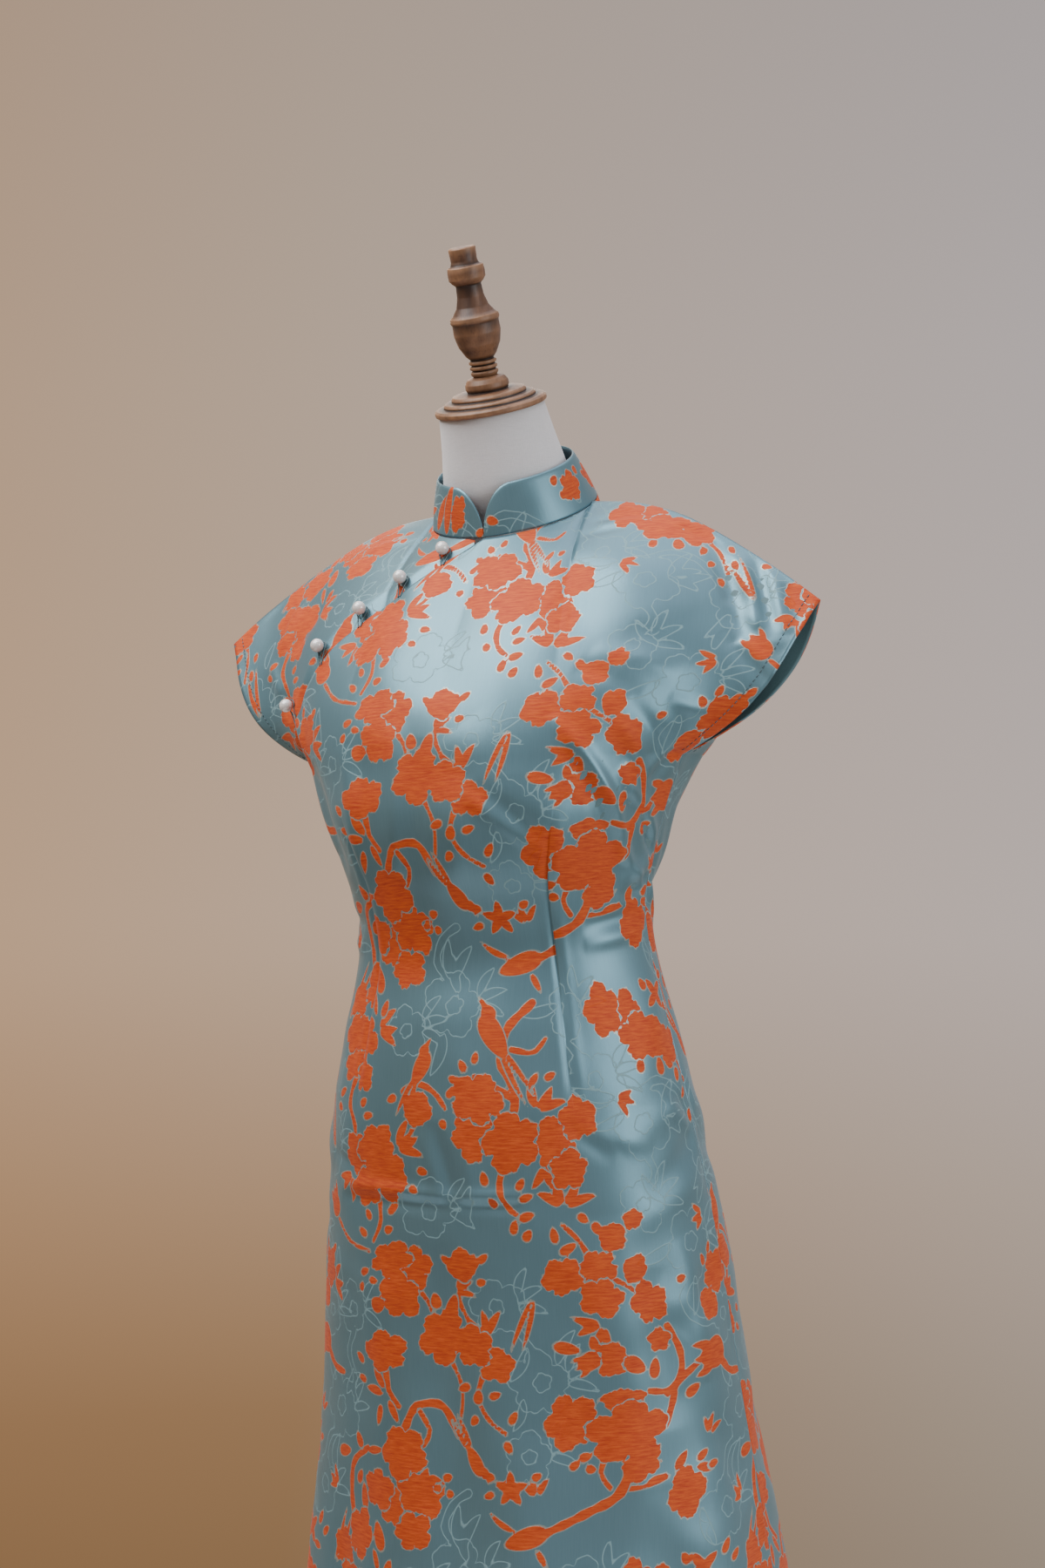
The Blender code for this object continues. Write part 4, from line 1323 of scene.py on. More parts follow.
def new_piece(name: str, points: Array, faces: list[tuple[int, ...]], materials: list[Material]) -> Object:
    """Make a smooth mesh object at the origin.

    Args:
        name: The piece's name.
        points: Its corners, three numbers each.
        faces: Its faces, as rows of corner numbers.
        materials: Its materials, in slot order.

    Returns:
        The object, linked to the scene.
    """
    mesh = bpy.data.meshes.new(name)
    mesh.from_pydata(np.asarray(points).reshape(-1, 3).tolist(), [], faces)
    mesh.polygons.foreach_set("use_smooth", np.ones(len(mesh.polygons), bool))
    for material in materials:
        mesh.materials.append(material)
    mesh.update()
    piece = bpy.data.objects.new(name, mesh)
    bpy.context.scene.collection.objects.link(piece)
    return piece


def store(mesh: bpy.types.Mesh, name: str, values: Array) -> None:
    """Keep one number for each corner of a mesh under a name."""
    kept = mesh.attributes.new(name, "FLOAT", "POINT")
    kept.data.foreach_set("value", np.ascontiguousarray(values, np.float32).ravel())


def lay_flat(mesh: bpy.types.Mesh, flat: Array) -> None:
    """Lay the mesh out on its cloth as a UV map, in metres.

    Args:
        mesh: The mesh.
        flat: For each corner, its place across and up the flat cloth.
    """
    layer = mesh.uv_layers.new(name="cloth")
    corner = np.empty(len(mesh.loops), np.int32)
    mesh.loops.foreach_get("vertex_index", corner)
    layer.data.foreach_set("uv", np.ascontiguousarray(flat.reshape(-1, 2)[corner], np.float32).ravel())


def every(count: int, step: int) -> Array:
    """Give the numbers 0, step, 2 step and so on, and always the last of the count."""
    taken = np.arange(0, count, step)
    return taken if taken[-1] == count - 1 else np.append(taken, count - 1)


def rim_of(rows: Array, columns: Array) -> list[tuple[int, int]]:
    """Walk once round the edge of a grid.

    Args:
        rows: The row numbers that it keeps.
        columns: The column numbers that it keeps.

    Returns:
        Row and column of each place on the edge, in order.
    """
    r0, r1, c0, c1 = rows[0], rows[-1], columns[0], columns[-1]
    walk = [(r0, c) for c in columns]
    walk += [(r, c1) for r in rows[1:]]
    walk += [(r1, c) for c in columns[-2::-1]]
    walk += [(r, c0) for r in rows[-2:0:-1]]
    return walk


def sheet_faces(
    shape: tuple[int, int], rows: Array, columns: Array, flip: bool
) -> tuple[list[tuple[int, ...]], int]:
    """Join a fine outer grid and a coarser inner grid into one closed sheet.

    Args:
        shape: Rows and columns of the outer grid.
        rows: Outer rows that the inner grid keeps.
        columns: Outer columns that the inner grid keeps.
        flip: Whether the outer grid's columns run the other way round as seen from outside.

    Returns:
        The faces, and how many of them come first as outer and rim faces.
    """
    count, width = shape[0] * shape[1], shape[1]
    r, c = np.meshgrid(np.arange(shape[0] - 1), np.arange(width - 1), indexing="ij")
    a = (r * width + c).ravel()
    outer = np.stack([a, a + 1, a + width + 1, a + width], 1)
    inner_width = len(columns)
    r, c = np.meshgrid(np.arange(len(rows) - 1), np.arange(inner_width - 1), indexing="ij")
    b = (r * inner_width + c).ravel() + count
    inner = np.stack([b, b + inner_width, b + inner_width + 1, b + 1], 1)
    fine = [int(i * width + j) for i, j in rim_of(np.arange(shape[0]), np.arange(width))]
    kept = []
    for i, j in rim_of(rows, columns):
        row, column = int(np.searchsorted(rows, i)), int(np.searchsorted(columns, j))
        kept.append((int(i * width + j), count + row * inner_width + column))
    where = {place: n for n, place in enumerate(fine)}
    rim: list[tuple[int, ...]] = []
    for (start, low), (end, high) in zip(kept, kept[1:] + kept[:1]):
        i, j = where[start], where[end]
        j = j + len(fine) if j < i else j
        for k in range(i, j):
            rim.append((fine[(k + 1) % len(fine)], fine[k % len(fine)], low))
        rim.append((end, low, high))
    faces = [tuple(f) for f in outer.tolist()] + rim + [tuple(f) for f in inner.tolist()]
    if flip:
        faces = [tuple(reversed(f)) for f in faces]
    return faces, len(outer) + len(rim)


# ---------------------------------------------------------------- the dress


@dataclass
class FlatCloth:
    """Where each place of the worn front or back lies on the flat cloth."""

    shape: DressShape
    side: Side
    dart_share: float = 0.42
    dart_low: float = 0.899
    dart_waist: float = 1.020
    dart_high: float = 1.125
    dart_take: float = 0.026
    u: Array = field(init=False)
    v: Array = field(init=False)
    s: Array = field(init=False)
    t: Array = field(init=False)

    def __post_init__(self) -> None:
        """Measure the worn surface along its rows and up its columns."""
        shape = self.shape
        self.u = np.linspace(-1, 1, 241)
        z = np.linspace(shape.hem_z, shape.underarm_z, 150)[:, None]
        body = place(shape, self.u, z - shape.underarm_z, self.side)
        w = np.linspace(0, 1, 121)[1:, None]
        grid = np.concatenate([body, place(shape, self.u, w, self.side)])
        self.v = np.concatenate([z[:, 0] - shape.underarm_z, w[:, 0]])
        across = np.cumsum(np.hypot(*np.moveaxis(np.diff(grid[..., :2], axis=1), -1, 0)), axis=1)
        across = np.concatenate([np.zeros((len(grid), 1)), across], 1)
        self.s = across - across[:, 120:121]
        up = np.hypot(*np.moveaxis(np.diff(grid[149:, :, 1:], axis=0), -1, 0))
        rise = shape.underarm_z + np.concatenate([np.zeros((1, 241)), np.cumsum(up, axis=0)])[1:]
        self.t = np.concatenate([np.repeat(z, 241, 1), rise])

    def dart(self, z: Array) -> Array:
        """Give how much cloth the dart takes up at each height."""
        below = (z - self.dart_low) / (self.dart_waist - self.dart_low)
        above = (self.dart_high - z) / (self.dart_high - self.dart_waist)
        return self.dart_take * np.clip(np.minimum(below, above), 0, 1)

    def at(self, u: Array, v: Array) -> tuple[Array, Array]:
        """Look up flat places.

        Args:
            u: Share of the way across, from -1 to 1.
            v: Height below the underarm as a negative length, or share of the way up the yoke.

        Returns:
            Places across and up the flat cloth.
        """
        u, v = np.broadcast_arrays(np.asarray(u, float), np.asarray(v, float))
        x = (np.clip(u, -1, 1) + 1) * 120
        j = np.clip(x.astype(int), 0, 239)
        i = np.clip(np.searchsorted(self.v, v, side="right") - 1, 0, len(self.v) - 2)
        p = x - j
        q = np.clip((v - self.v[i]) / (self.v[i + 1] - self.v[i]), 0, 1)

        def read(table: Array) -> Array:
            """Blend the four nearest entries."""
            low = table[i, j] * (1 - p) + table[i, j + 1] * p
            return low * (1 - q) + (table[i + 1, j] * (1 - p) + table[i + 1, j + 1] * p) * q

        taken = np.where(np.abs(u) > self.dart_share, self.dart(v + self.shape.underarm_z), 0) * np.sign(u)
        return read(self.s) + taken, read(self.t)


def place(shape: DressShape, u: Array, v: Array, side: Side) -> Array:
    """Give points of the smooth worn surface.

    Args:
        shape: The dress.
        u: Share of the way across, from -1 to 1.
        v: Height below the underarm as a negative length, or share of the way up the yoke.
        side: Front or back.

    Returns:
        Points.
    """
    u, v = np.broadcast_arrays(np.asarray(u, float), np.asarray(v, float))
    angle = u * math.pi / 2
    low = shape.ring(math.pi - angle if side is Side.BACK else angle, shape.underarm_z + np.minimum(v, 0))
    return np.where((v < 0)[..., None], low, shape.yoke(u, np.clip(v, 0, 1.02), side))


@dataclass
class Dress:
    """The dress: an outer front, a small front under the slanting edge, a back, a collar and its closing."""

    shape: DressShape = field(default_factory=DressShape)
    drawing: Jacquard = field(default_factory=Jacquard)
    across: int = 216
    body_rows: int = 316
    yoke_rows: int = 82
    underlap: float = 0.055
    tuck: float = 0.0030
    collar_height: float = 0.038
    collar_lean: float = 0.17
    collar_round: float = 0.030
    collar_cloth: float = 0.0020
    pearl_radius: float = 0.0055
    loop_thickness: float = 0.0011
    loop_radius: float = 0.0052
    loop_lift: float = 0.0009
    loop_parting: float = 0.0010
    hem_band: float = 0.010
    satin: Material = field(init=False)
    wrong_side: Material = field(init=False)
    thread: Material = field(init=False)
    pearl: Material = field(init=False)
    flats: dict[Side, FlatCloth] = field(init=False)

    def __post_init__(self) -> None:
        """Make the finishes and measure the flat cloth."""
        self.satin = SatinJacquard().build()
        self.wrong_side = SatinWrongSide().build()
        self.thread = Thread().build()
        self.pearl = PearlFinish().build()
        self.flats = {side: FlatCloth(self.shape, side) for side in Side}

    def relief(self, u: Array, v: Array, side: Side) -> Array:
        """Give how far the cloth stands out of the smooth surface: creases, soft waves and darts.

        Args:
            u: Share of the way across.
            v: Height below the underarm, or share of the way up the yoke.
            side: Front or back.

        Returns:
            Heights along the outward normal.
        """
        flat = self.flats[side]
        s, t = flat.at(u, v)
        out = np.zeros(s.shape)
        for crease in FRONT_CREASES if side is Side.FRONT else BACK_CREASES:
            dx, dy = crease.s1 - crease.s0, crease.t1 - crease.t0
            length = math.hypot(dx, dy)
            q = np.clip(((s - crease.s0) * dx + (t - crease.t0) * dy) / length**2, -0.1, 1.1)
            sway = crease.bend * np.sin(math.pi * q)
            off_s = s - crease.s0 - q * dx + sway * dy / length
            off_t = t - crease.t0 - q * dy - sway * dx / length
            away = np.hypot(off_s, off_t)
            taper = np.sin(math.pi * np.clip(q, 0, 1)) ** 0.7
            out += crease.height * taper * np.exp(-((away / crease.width) ** 2))
        waves = np.random.default_rng(7)
        for _ in range(14):
            heading, phase = waves.uniform(0, math.pi), waves.uniform(0, 6.3)
            pace = waves.uniform(45, 170)
            size = 0.011 / pace
            out += size * np.sin((s * math.cos(heading) + t * math.sin(heading)) * pace + phase)
        by_seam = 1 - ease((1 - np.abs(u)) / 0.06)
        out *= 1 - by_seam * (1 - ease(v / 0.12))
        out *= ease((1 - v) / 0.07)
        z = self.shape.underarm_z + np.minimum(v, 0)
        beside = (np.abs(u) - flat.dart_share) * 0.19
        held = ease((z - flat.dart_low) / 0.03) * ease((flat.dart_high - z) / 0.03)
        out -= 0.0010 * held * np.exp(-((beside / 0.0030) ** 2))
        out += 0.0006 * held * np.exp(-(((np.abs(beside) - 0.0065) / 0.004) ** 2))
        return out

    def worn(self, u: Array, v: Array, side: Side) -> tuple[Array, Array]:
        """Give points of the worn cloth and the smooth surface's normals there."""
        u, v = np.broadcast_arrays(np.asarray(u, float), np.asarray(v, float))
        step = 0.0015
        low_v = np.where((v > 0) & (v < step), v, v - step)
        du = place(self.shape, u + step, v, side) - place(self.shape, u - step, v, side)
        dv = place(self.shape, u, v + step, side) - place(self.shape, u, low_v, side)
        normal = unit(np.cross(du, dv))
        if side is Side.BACK:
            normal = -normal
        return place(self.shape, u, v, side) + normal * self.relief(u, v, side)[..., None], normal

    def mitred(self, grid: Array, normal: Array, w: Array, u: Array) -> Array:
        """Step one layer inwards, meeting the other side's layer along the shoulder."""
        share = np.clip((w - 0.86) / 0.14, 0, 1)[..., None] ** 1.5
        step = unit(normal * (1 - share) + self.shape.seam_normals(u) * share)
        lean = np.clip((step * normal).sum(-1, keepdims=True), 0.45, 1)
        return grid - step * self.shape.cloth / lean

    def columns(self, count: int) -> Array:
        """Spread columns across a panel, with a close pair on each dart line."""
        dart = self.flats[Side.FRONT].dart_share
        pairs = np.array([-dart - 4e-4, -dart + 4e-4, dart - 4e-4, dart + 4e-4])
        u = np.linspace(-1, 1, count + 1)
        clear = np.abs(np.abs(u) - dart) > 0.003
        return np.sort(np.concatenate([u[clear], pairs]))

    def cut_piece(
        self, name: str, nodes: tuple[str, ...], outer: Array, inner: Array, flat: Array, flip: bool
    ) -> Object:
        """Sew an outer and an inner face into one closed sheet of patterned satin.

        Args:
            name: The piece's name.
            nodes: The solids that it stands for.
            outer: Grid of outer points.
            inner: Grid of inner points, of the same shape.
            flat: Grid of flat places.
            flip: Whether the columns run clockwise as seen from outside.

        Returns:
            The piece.
        """
        rows, columns = every(outer.shape[0], 4), every(outer.shape[1], 3)
        faces, shown = sheet_faces(outer.shape[:2], rows, columns, flip)
        kept = np.ix_(rows, columns)
        points = np.concatenate([outer.reshape(-1, 3), inner[kept].reshape(-1, 3)])
        piece = new_piece(name, points, faces, [self.satin, self.wrong_side])
        mesh = piece.data
        lining = np.zeros(len(mesh.polygons), np.int32)
        lining[shown:] = 1
        mesh.polygons.foreach_set("material_index", lining)
        whole = np.concatenate([flat.reshape(-1, 2), flat[kept].reshape(-1, 2)])
        s, t = whole[:, 0], whole[:, 1]
        self.weave(mesh, self.drawing.figures(s, t))
        for label, drawn in zip(LINES, self.drawing.line_fields(s, t)):
            store(mesh, label, drawn)
        lay_flat(mesh, whole)
        self.finish_cloth(piece, nodes)
        return piece

    def weave(self, mesh: bpy.types.Mesh, layers: list[Field]) -> None:
        """Keep the drawn layers on a mesh, with how frilled the nearest figure's edge is."""
        for name, layer in zip(LAYERS, layers):
            store(mesh, name, layer.value)
        nearest = np.argmax([layer.value for layer in layers], axis=0)
        store(mesh, "frill", np.choose(nearest, [layer.frill for layer in layers]))

    def finish_cloth(self, piece: Object, nodes: tuple[str, ...]) -> None:
        """Tie a piece of the dress to the frame and report it."""
        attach(piece, "root")
        if nodes:
            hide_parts(*nodes)
        mesh = piece.data
        mesh.calc_loop_triangles()
        log.info("%s: %d triangles", piece.name, len(mesh.loop_triangles))

    def panel(self, side: Side) -> tuple[Object, tuple[float, float], float]:
        """Make the outer front or the back, from the hem to the collar and shoulders.

        Args:
            side: Front or back.

        Returns:
            The piece, its cut's width and length, and the cut's area.
        """
        shape = self.shape
        u = self.columns(self.across)
        z = np.linspace(shape.hem_z, shape.underarm_z, self.body_rows, endpoint=False)[:, None]
        body_u = u * (1 - shape.side_gap(z))
        top_u = u * (1 - shape.side_gap(shape.underarm_z))
        top = shape.opening(top_u) if side is Side.FRONT else np.ones(u.shape)
        w = np.linspace(0, 1, self.yoke_rows + 1)[:, None] * (top - 0.002)
        grid_u = np.concatenate([body_u, np.broadcast_to(top_u, w.shape)])
        grid_v = np.concatenate([np.broadcast_to(z - shape.underarm_z, body_u.shape), w])
        outer, _ = self.worn(grid_u, grid_v, side)
        inner = self.mitred(outer, shape.outward(outer, side), np.maximum(grid_v, 0), top_u)
        flat = np.stack(self.flats[side].at(grid_u, grid_v), -1)
        if side is Side.BACK:
            flat = flat * (-1, 1) + (0.190, 0.120)
        name = "dress_front" if side is Side.FRONT else "dress_back"
        node = "front_outer" if side is Side.FRONT else "back"
        piece = self.cut_piece(name, (node,), outer, inner, flat, side is Side.BACK)
        return piece, *self.cut_size(flat)

    def cut_size(self, flat: Array) -> tuple[tuple[float, float], float]:
        """Measure a flat cut: its width and length, and its area."""
        low, high = flat.reshape(-1, 2).min(0), flat.reshape(-1, 2).max(0)
        a, b, c, d = flat[:-1, :-1], flat[:-1, 1:], flat[1:, 1:], flat[1:, :-1]
        first, second = c - a, d - b
        area = np.abs(first[..., 0] * second[..., 1] - first[..., 1] * second[..., 0]).sum() / 2
        return (float(high[0] - low[0]), float(high[1] - low[1])), float(area)

    def small_front(self) -> tuple[Object, tuple[float, float], float]:
        """Make the piece under the slanting edge, from the sleeve to the collar on the wearer's right."""
        shape = self.shape
        u = np.linspace(-1, 0, 97) * (1 - shape.side_gap(shape.underarm_z))
        u[-1] = -0.03
        u = np.sort(np.append(u[u < -0.03], -0.03))
        low = np.maximum(shape.opening(u) - self.underlap, 0.004)
        w = low + np.linspace(0, 1, 84)[:, None] ** 1.25 * (0.998 - low)
        outer, normal = self.worn(u, w, Side.FRONT)
        over = np.clip((w - shape.opening(u)) / 0.08, 0, 1)
        outer = outer - normal * (self.tuck * (1 - ease(over)))[..., None]
        inner = self.mitred(outer, shape.outward(outer, Side.FRONT), w, u)
        flat = np.stack(self.flats[Side.FRONT].at(u, w), -1) + (0.100, 0.075)
        piece = self.cut_piece("dress_small_front", ("front_small",), outer, inner, flat, False)
        return piece, *self.cut_size(flat)

    def collar(self) -> tuple[Object, tuple[float, float], float]:
        """Make the standing band, in one piece round the neck with rounded front ends."""
        shape = self.shape
        girth = math.pi * (shape.neck_half_width + shape.neck_half_depth)
        round_end = self.collar_round
        ends = round_end * (1 - np.cos(np.linspace(0.16, math.pi / 2, 22)))
        middle = np.linspace(round_end, girth - round_end, 150)[1:-1]
        run = np.concatenate([ends, middle, girth - ends[::-1]])
        short = np.clip(1 - np.minimum(run, girth - run) / round_end, 0, 1)
        height = self.collar_height * np.sqrt(1 - short**2)
        angle = run / girth * 2 * math.pi
        v = np.linspace(0, 1, 25)[:, None]
        lift = shape.seam + v * height
        lean = self.collar_lean * lift / self.collar_height
        belly = 0.0008 * np.sin(math.pi * v) * np.sin(angle * 5 + 0.6) ** 2 / shape.neck_half_width
        roll = 0.35 * (np.clip((v - 0.90) / 0.10, 0, 1) ** 3) * self.collar_cloth / shape.neck_half_width
        outer = shape.neck(angle, lean - belly + roll, lift)
        inner = shape.neck(angle, lean - belly + (self.collar_cloth / shape.neck_half_width) - roll, lift)
        flat = np.stack([np.broadcast_to(run, lift.shape), lift], -1)
        rows, columns = every(outer.shape[0], 2), every(outer.shape[1], 2)
        faces, _ = sheet_faces(outer.shape[:2], rows, columns, False)
        kept = np.ix_(rows, columns)
        points = np.concatenate([outer.reshape(-1, 3), inner[kept].reshape(-1, 3)])
        piece = new_piece("dress_collar", points, faces, [self.satin])
        whole = np.concatenate([flat.reshape(-1, 2), flat[kept].reshape(-1, 2)])
        self.weave(piece.data, self.drawing.collar_figures(whole[:, 0], whole[:, 1], girth))
        shift = whole + (0.150, 0.055)
        for label, drawn in zip(LINES, self.drawing.line_fields(shift[:, 0], shift[:, 1])):
            store(piece.data, label, drawn)
        lay_flat(piece.data, whole)
        self.finish_cloth(piece, ("collar",))
        return piece, *self.cut_size(flat)

    def pearls(self) -> Object:
        """Set the five pearls beside the slanting edge with Geometry Nodes."""
        u = np.array([p.u for p in PEARL_PLACES])
        w = np.array([p.w for p in PEARL_PLACES])
        points, normal = self.worn(u, w, Side.FRONT)
        seats = points + normal * (self.pearl_radius + self.shape.seam)
        piece = Beading(self.pearl_radius, self.pearl).grow("pearl_buttons", seats)
        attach(piece, "root")
        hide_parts(*(f"button_{n}" for n in range(1, 6)))
        log.info("%s: %d pearls", piece.name, len(seats))
        return piece

    def loops(self) -> Object:
        """Lay a small loop of thread from the edge round the foot of each pearl."""
        runs = []
        for pearl_place in PEARL_PLACES:
            edge_u = pearl_place.u + 0.006
            edge_w = float(self.shape.opening(np.array(edge_u))) - 0.012
            around = np.linspace(-2.35, 2.35, 25)
            foot, normal = self.worn(pearl_place.u, pearl_place.w, Side.FRONT)
            root, _ = self.worn(edge_u, edge_w, Side.FRONT)
            towards = unit(foot - root)
            side_way = unit(np.cross(normal, towards))
            turned = np.cos(around)[:, None] * towards + np.sin(around)[:, None] * side_way
            ring_points = foot + turned * self.loop_radius
            ring_points = ring_points + normal * self.loop_lift
            ends = [root + side_way * self.loop_parting * sign + normal * 0.0004 for sign in (-1, 1)]
            runs.append(np.concatenate([[ends[0]], ring_points, [ends[1]]]))
        piece = Cording(self.loop_thickness, self.thread).lay("button_loops", runs)
        self.finish_cloth(piece, ())
        return piece

    def stitches(self, side: Side) -> Object:
        """Sew the sleeve hems and the skirt hem of one side.

        Args:
            side: Front or back.

        Returns:
            The stitches, as one piece.
        """
        runs = []
        for hand in (-1, 1):
            w = np.linspace(0.03, 0.97, 90)
            edge = 1 - self.shape.side_gap(self.shape.underarm_z)
            at_edge, _ = self.worn(hand * edge, w, side)
            further_in, _ = self.worn(hand * (edge - 0.05), w, side)
            inset = 0.05 * self.hem_band / np.maximum(np.linalg.norm(at_edge - further_in, axis=-1), 0.004)
            points, normal = self.worn(hand * (edge - inset), w, side)
            if side is Side.FRONT and hand < 0:
                keep = w > self.shape.opening(hand * (edge - inset)) + 0.02
                points, normal = points[keep], normal[keep]
            runs.append(points + normal * 0.00012)
        u = np.linspace(-0.97, 0.97, 260)
        points, normal = self.worn(u, self.shape.hem_z + 0.026 - self.shape.underarm_z, side)
        runs.append(points + normal * 0.0001)
        piece = Stitching(0.0042, 0.0026, 0.00038, self.thread).sew(f"dress_{side.value}_stitches", runs)
        self.finish_cloth(piece, ())
        return piece


# ---------------------------------------------------------------- what repeats


class Tree:
    """A Geometry Nodes tree with named inputs that ends in Realize Instances and Set Material."""

    def __init__(self, name: str, material: Material, **sizes: float) -> None:
        """Start a tree.

        Args:
            name: The tree's name.
            material: What its result is made of.
            **sizes: Named inputs and their values.
        """
        self.tree = bpy.data.node_groups.new(name, "GeometryNodeTree")
        self.tree.interface.new_socket("Geometry", in_out="INPUT", socket_type="NodeSocketGeometry")
        self.tree.interface.new_socket("Geometry", in_out="OUTPUT", socket_type="NodeSocketGeometry")
        self.sizes = {}
        for label, value in sizes.items():
            socket = self.tree.interface.new_socket(label, in_out="INPUT", socket_type="NodeSocketFloat")
            socket.default_value = value
            self.sizes[socket.identifier] = value
        self.material = material
        self.entry = self.tree.nodes.new("NodeGroupInput")
        self.leave = self.tree.nodes.new("NodeGroupOutput")

    def node(self, kind: str, **inputs: object) -> bpy.types.Node:
        """Add a node, link or set its inputs by name, with underscores for spaces."""
        made = self.tree.nodes.new(kind)
        for label, value in inputs.items():
            socket = made.inputs[label.replace("_", " ")]
            if isinstance(value, Socket):
                self.tree.links.new(value, socket)
            else:
                socket.default_value = value
        return made

    def close(self, geometry: Socket) -> None:
        """Realize, smooth and paint the result."""
        real = self.node("GeometryNodeRealizeInstances", Geometry=geometry)
        smooth = self.node("GeometryNodeSetShadeSmooth", Geometry=real.outputs[0])
        painted = self.node("GeometryNodeSetMaterial", Geometry=smooth.outputs[0], Material=self.material)
        self.tree.links.new(painted.outputs[0], self.leave.inputs[0])

    def grow(self, name: str, runs: list[Array]) -> Object:
        """Run the tree on rows of points and keep its result as a plain mesh.

        Args:
            name: The piece's name.
            runs: Rows of points; each row of two or more is joined by edges.

        Returns:
            The piece.
        """
        points, edges = [], []
        for run in runs:
            first = len(points)
            points += np.atleast_2d(run).tolist()
            edges += [(i, i + 1) for i in range(first, len(points) - 1)]
        guide_mesh = bpy.data.meshes.new(name + "_guide")
        guide_mesh.from_pydata(points, edges, [])
        guide = bpy.data.objects.new(name + "_guide", guide_mesh)
        bpy.context.scene.collection.objects.link(guide)
        modifier = guide.modifiers.new("Nodes", "NODES")
        modifier.node_group = self.tree
        for identifier, value in self.sizes.items():
            modifier[identifier] = value
        graph = bpy.context.evaluated_depsgraph_get()
        mesh = bpy.data.meshes.new_from_object(guide.evaluated_get(graph), depsgraph=graph)
        mesh.name = name
        bpy.data.objects.remove(guide)
        if not mesh.materials:
            mesh.materials.append(self.material)
        piece = bpy.data.objects.new(name, mesh)
        bpy.context.scene.collection.objects.link(piece)
        return piece


@dataclass
class Beading:
    """Equal round beads on points."""

    radius: float
    finish: Material

    def grow(self, name: str, seats: Array) -> Object:
        """Put one bead on each seat."""
        tree = Tree(name, self.finish, Radius=self.radius)
        given = tree.entry.outputs
        points = tree.node("GeometryNodeMeshToPoints", Mesh=given["Geometry"])
        bead = tree.node("GeometryNodeMeshUVSphere", Segments=36, Rings=22, Radius=given["Radius"])
        placed = tree.node(
            "GeometryNodeInstanceOnPoints", Points=points.outputs[0], Instance=bead.outputs["Mesh"]
        )
        tree.close(placed.outputs[0])
        return tree.grow(name, [seat[None] for seat in seats])


@dataclass
class Cording:
    """Thin cord along rows of points."""

    thickness: float
    finish: Material

    def lay(self, name: str, runs: list[Array]) -> Object:
        """Lay the cord along each row."""
        tree = Tree(name, self.finish, Thickness=self.thickness)
        curve = tree.node("GeometryNodeMeshToCurve", Mesh=tree.entry.outputs["Geometry"])
        half = tree.node("ShaderNodeMath")
        half.operation = "MULTIPLY"
        tree.tree.links.new(tree.entry.outputs["Thickness"], half.inputs[0])
        half.inputs[1].default_value = 0.5
        circle = tree.node("GeometryNodeCurvePrimitiveCircle", Resolution=8, Radius=half.outputs[0])
        ends = {"Curve": curve.outputs[0], "Profile_Curve": circle.outputs[0]}
        cord = tree.node("GeometryNodeCurveToMesh", **ends, Fill_Caps=True)
        tree.close(cord.outputs[0])
        return tree.grow(name, runs)


@dataclass
class Stitching:
    """Short stitches at even spacing along rows of points."""

    spacing: float
    length: float
    thickness: float
    finish: Material

    def sew(self, name: str, runs: list[Array]) -> Object:
        """Sew along each row."""
        tree = Tree(name, self.finish, Spacing=self.spacing, Length=self.length, Thickness=self.thickness)
        curve = tree.node("GeometryNodeMeshToCurve", Mesh=tree.entry.outputs["Geometry"])
        places = tree.tree.nodes.new("GeometryNodeCurveToPoints")
        places.mode = "LENGTH"
        tree.tree.links.new(curve.outputs[0], places.inputs["Curve"])
        tree.tree.links.new(tree.entry.outputs["Spacing"], places.inputs["Length"])
        given = tree.entry.outputs
        stitch = tree.node(
            "GeometryNodeMeshCylinder",
            Vertices=6,
            Side_Segments=2,
            Radius=given["Thickness"],
            Depth=given["Length"],
        )
        placed = tree.node(
            "GeometryNodeInstanceOnPoints",
            Points=places.outputs["Points"],
            Instance=stitch.outputs["Mesh"],
            Rotation=places.outputs["Rotation"],
        )
        tree.close(placed.outputs[0])
        return tree.grow(name, runs)


# ---------------------------------------------------------------- the dress form


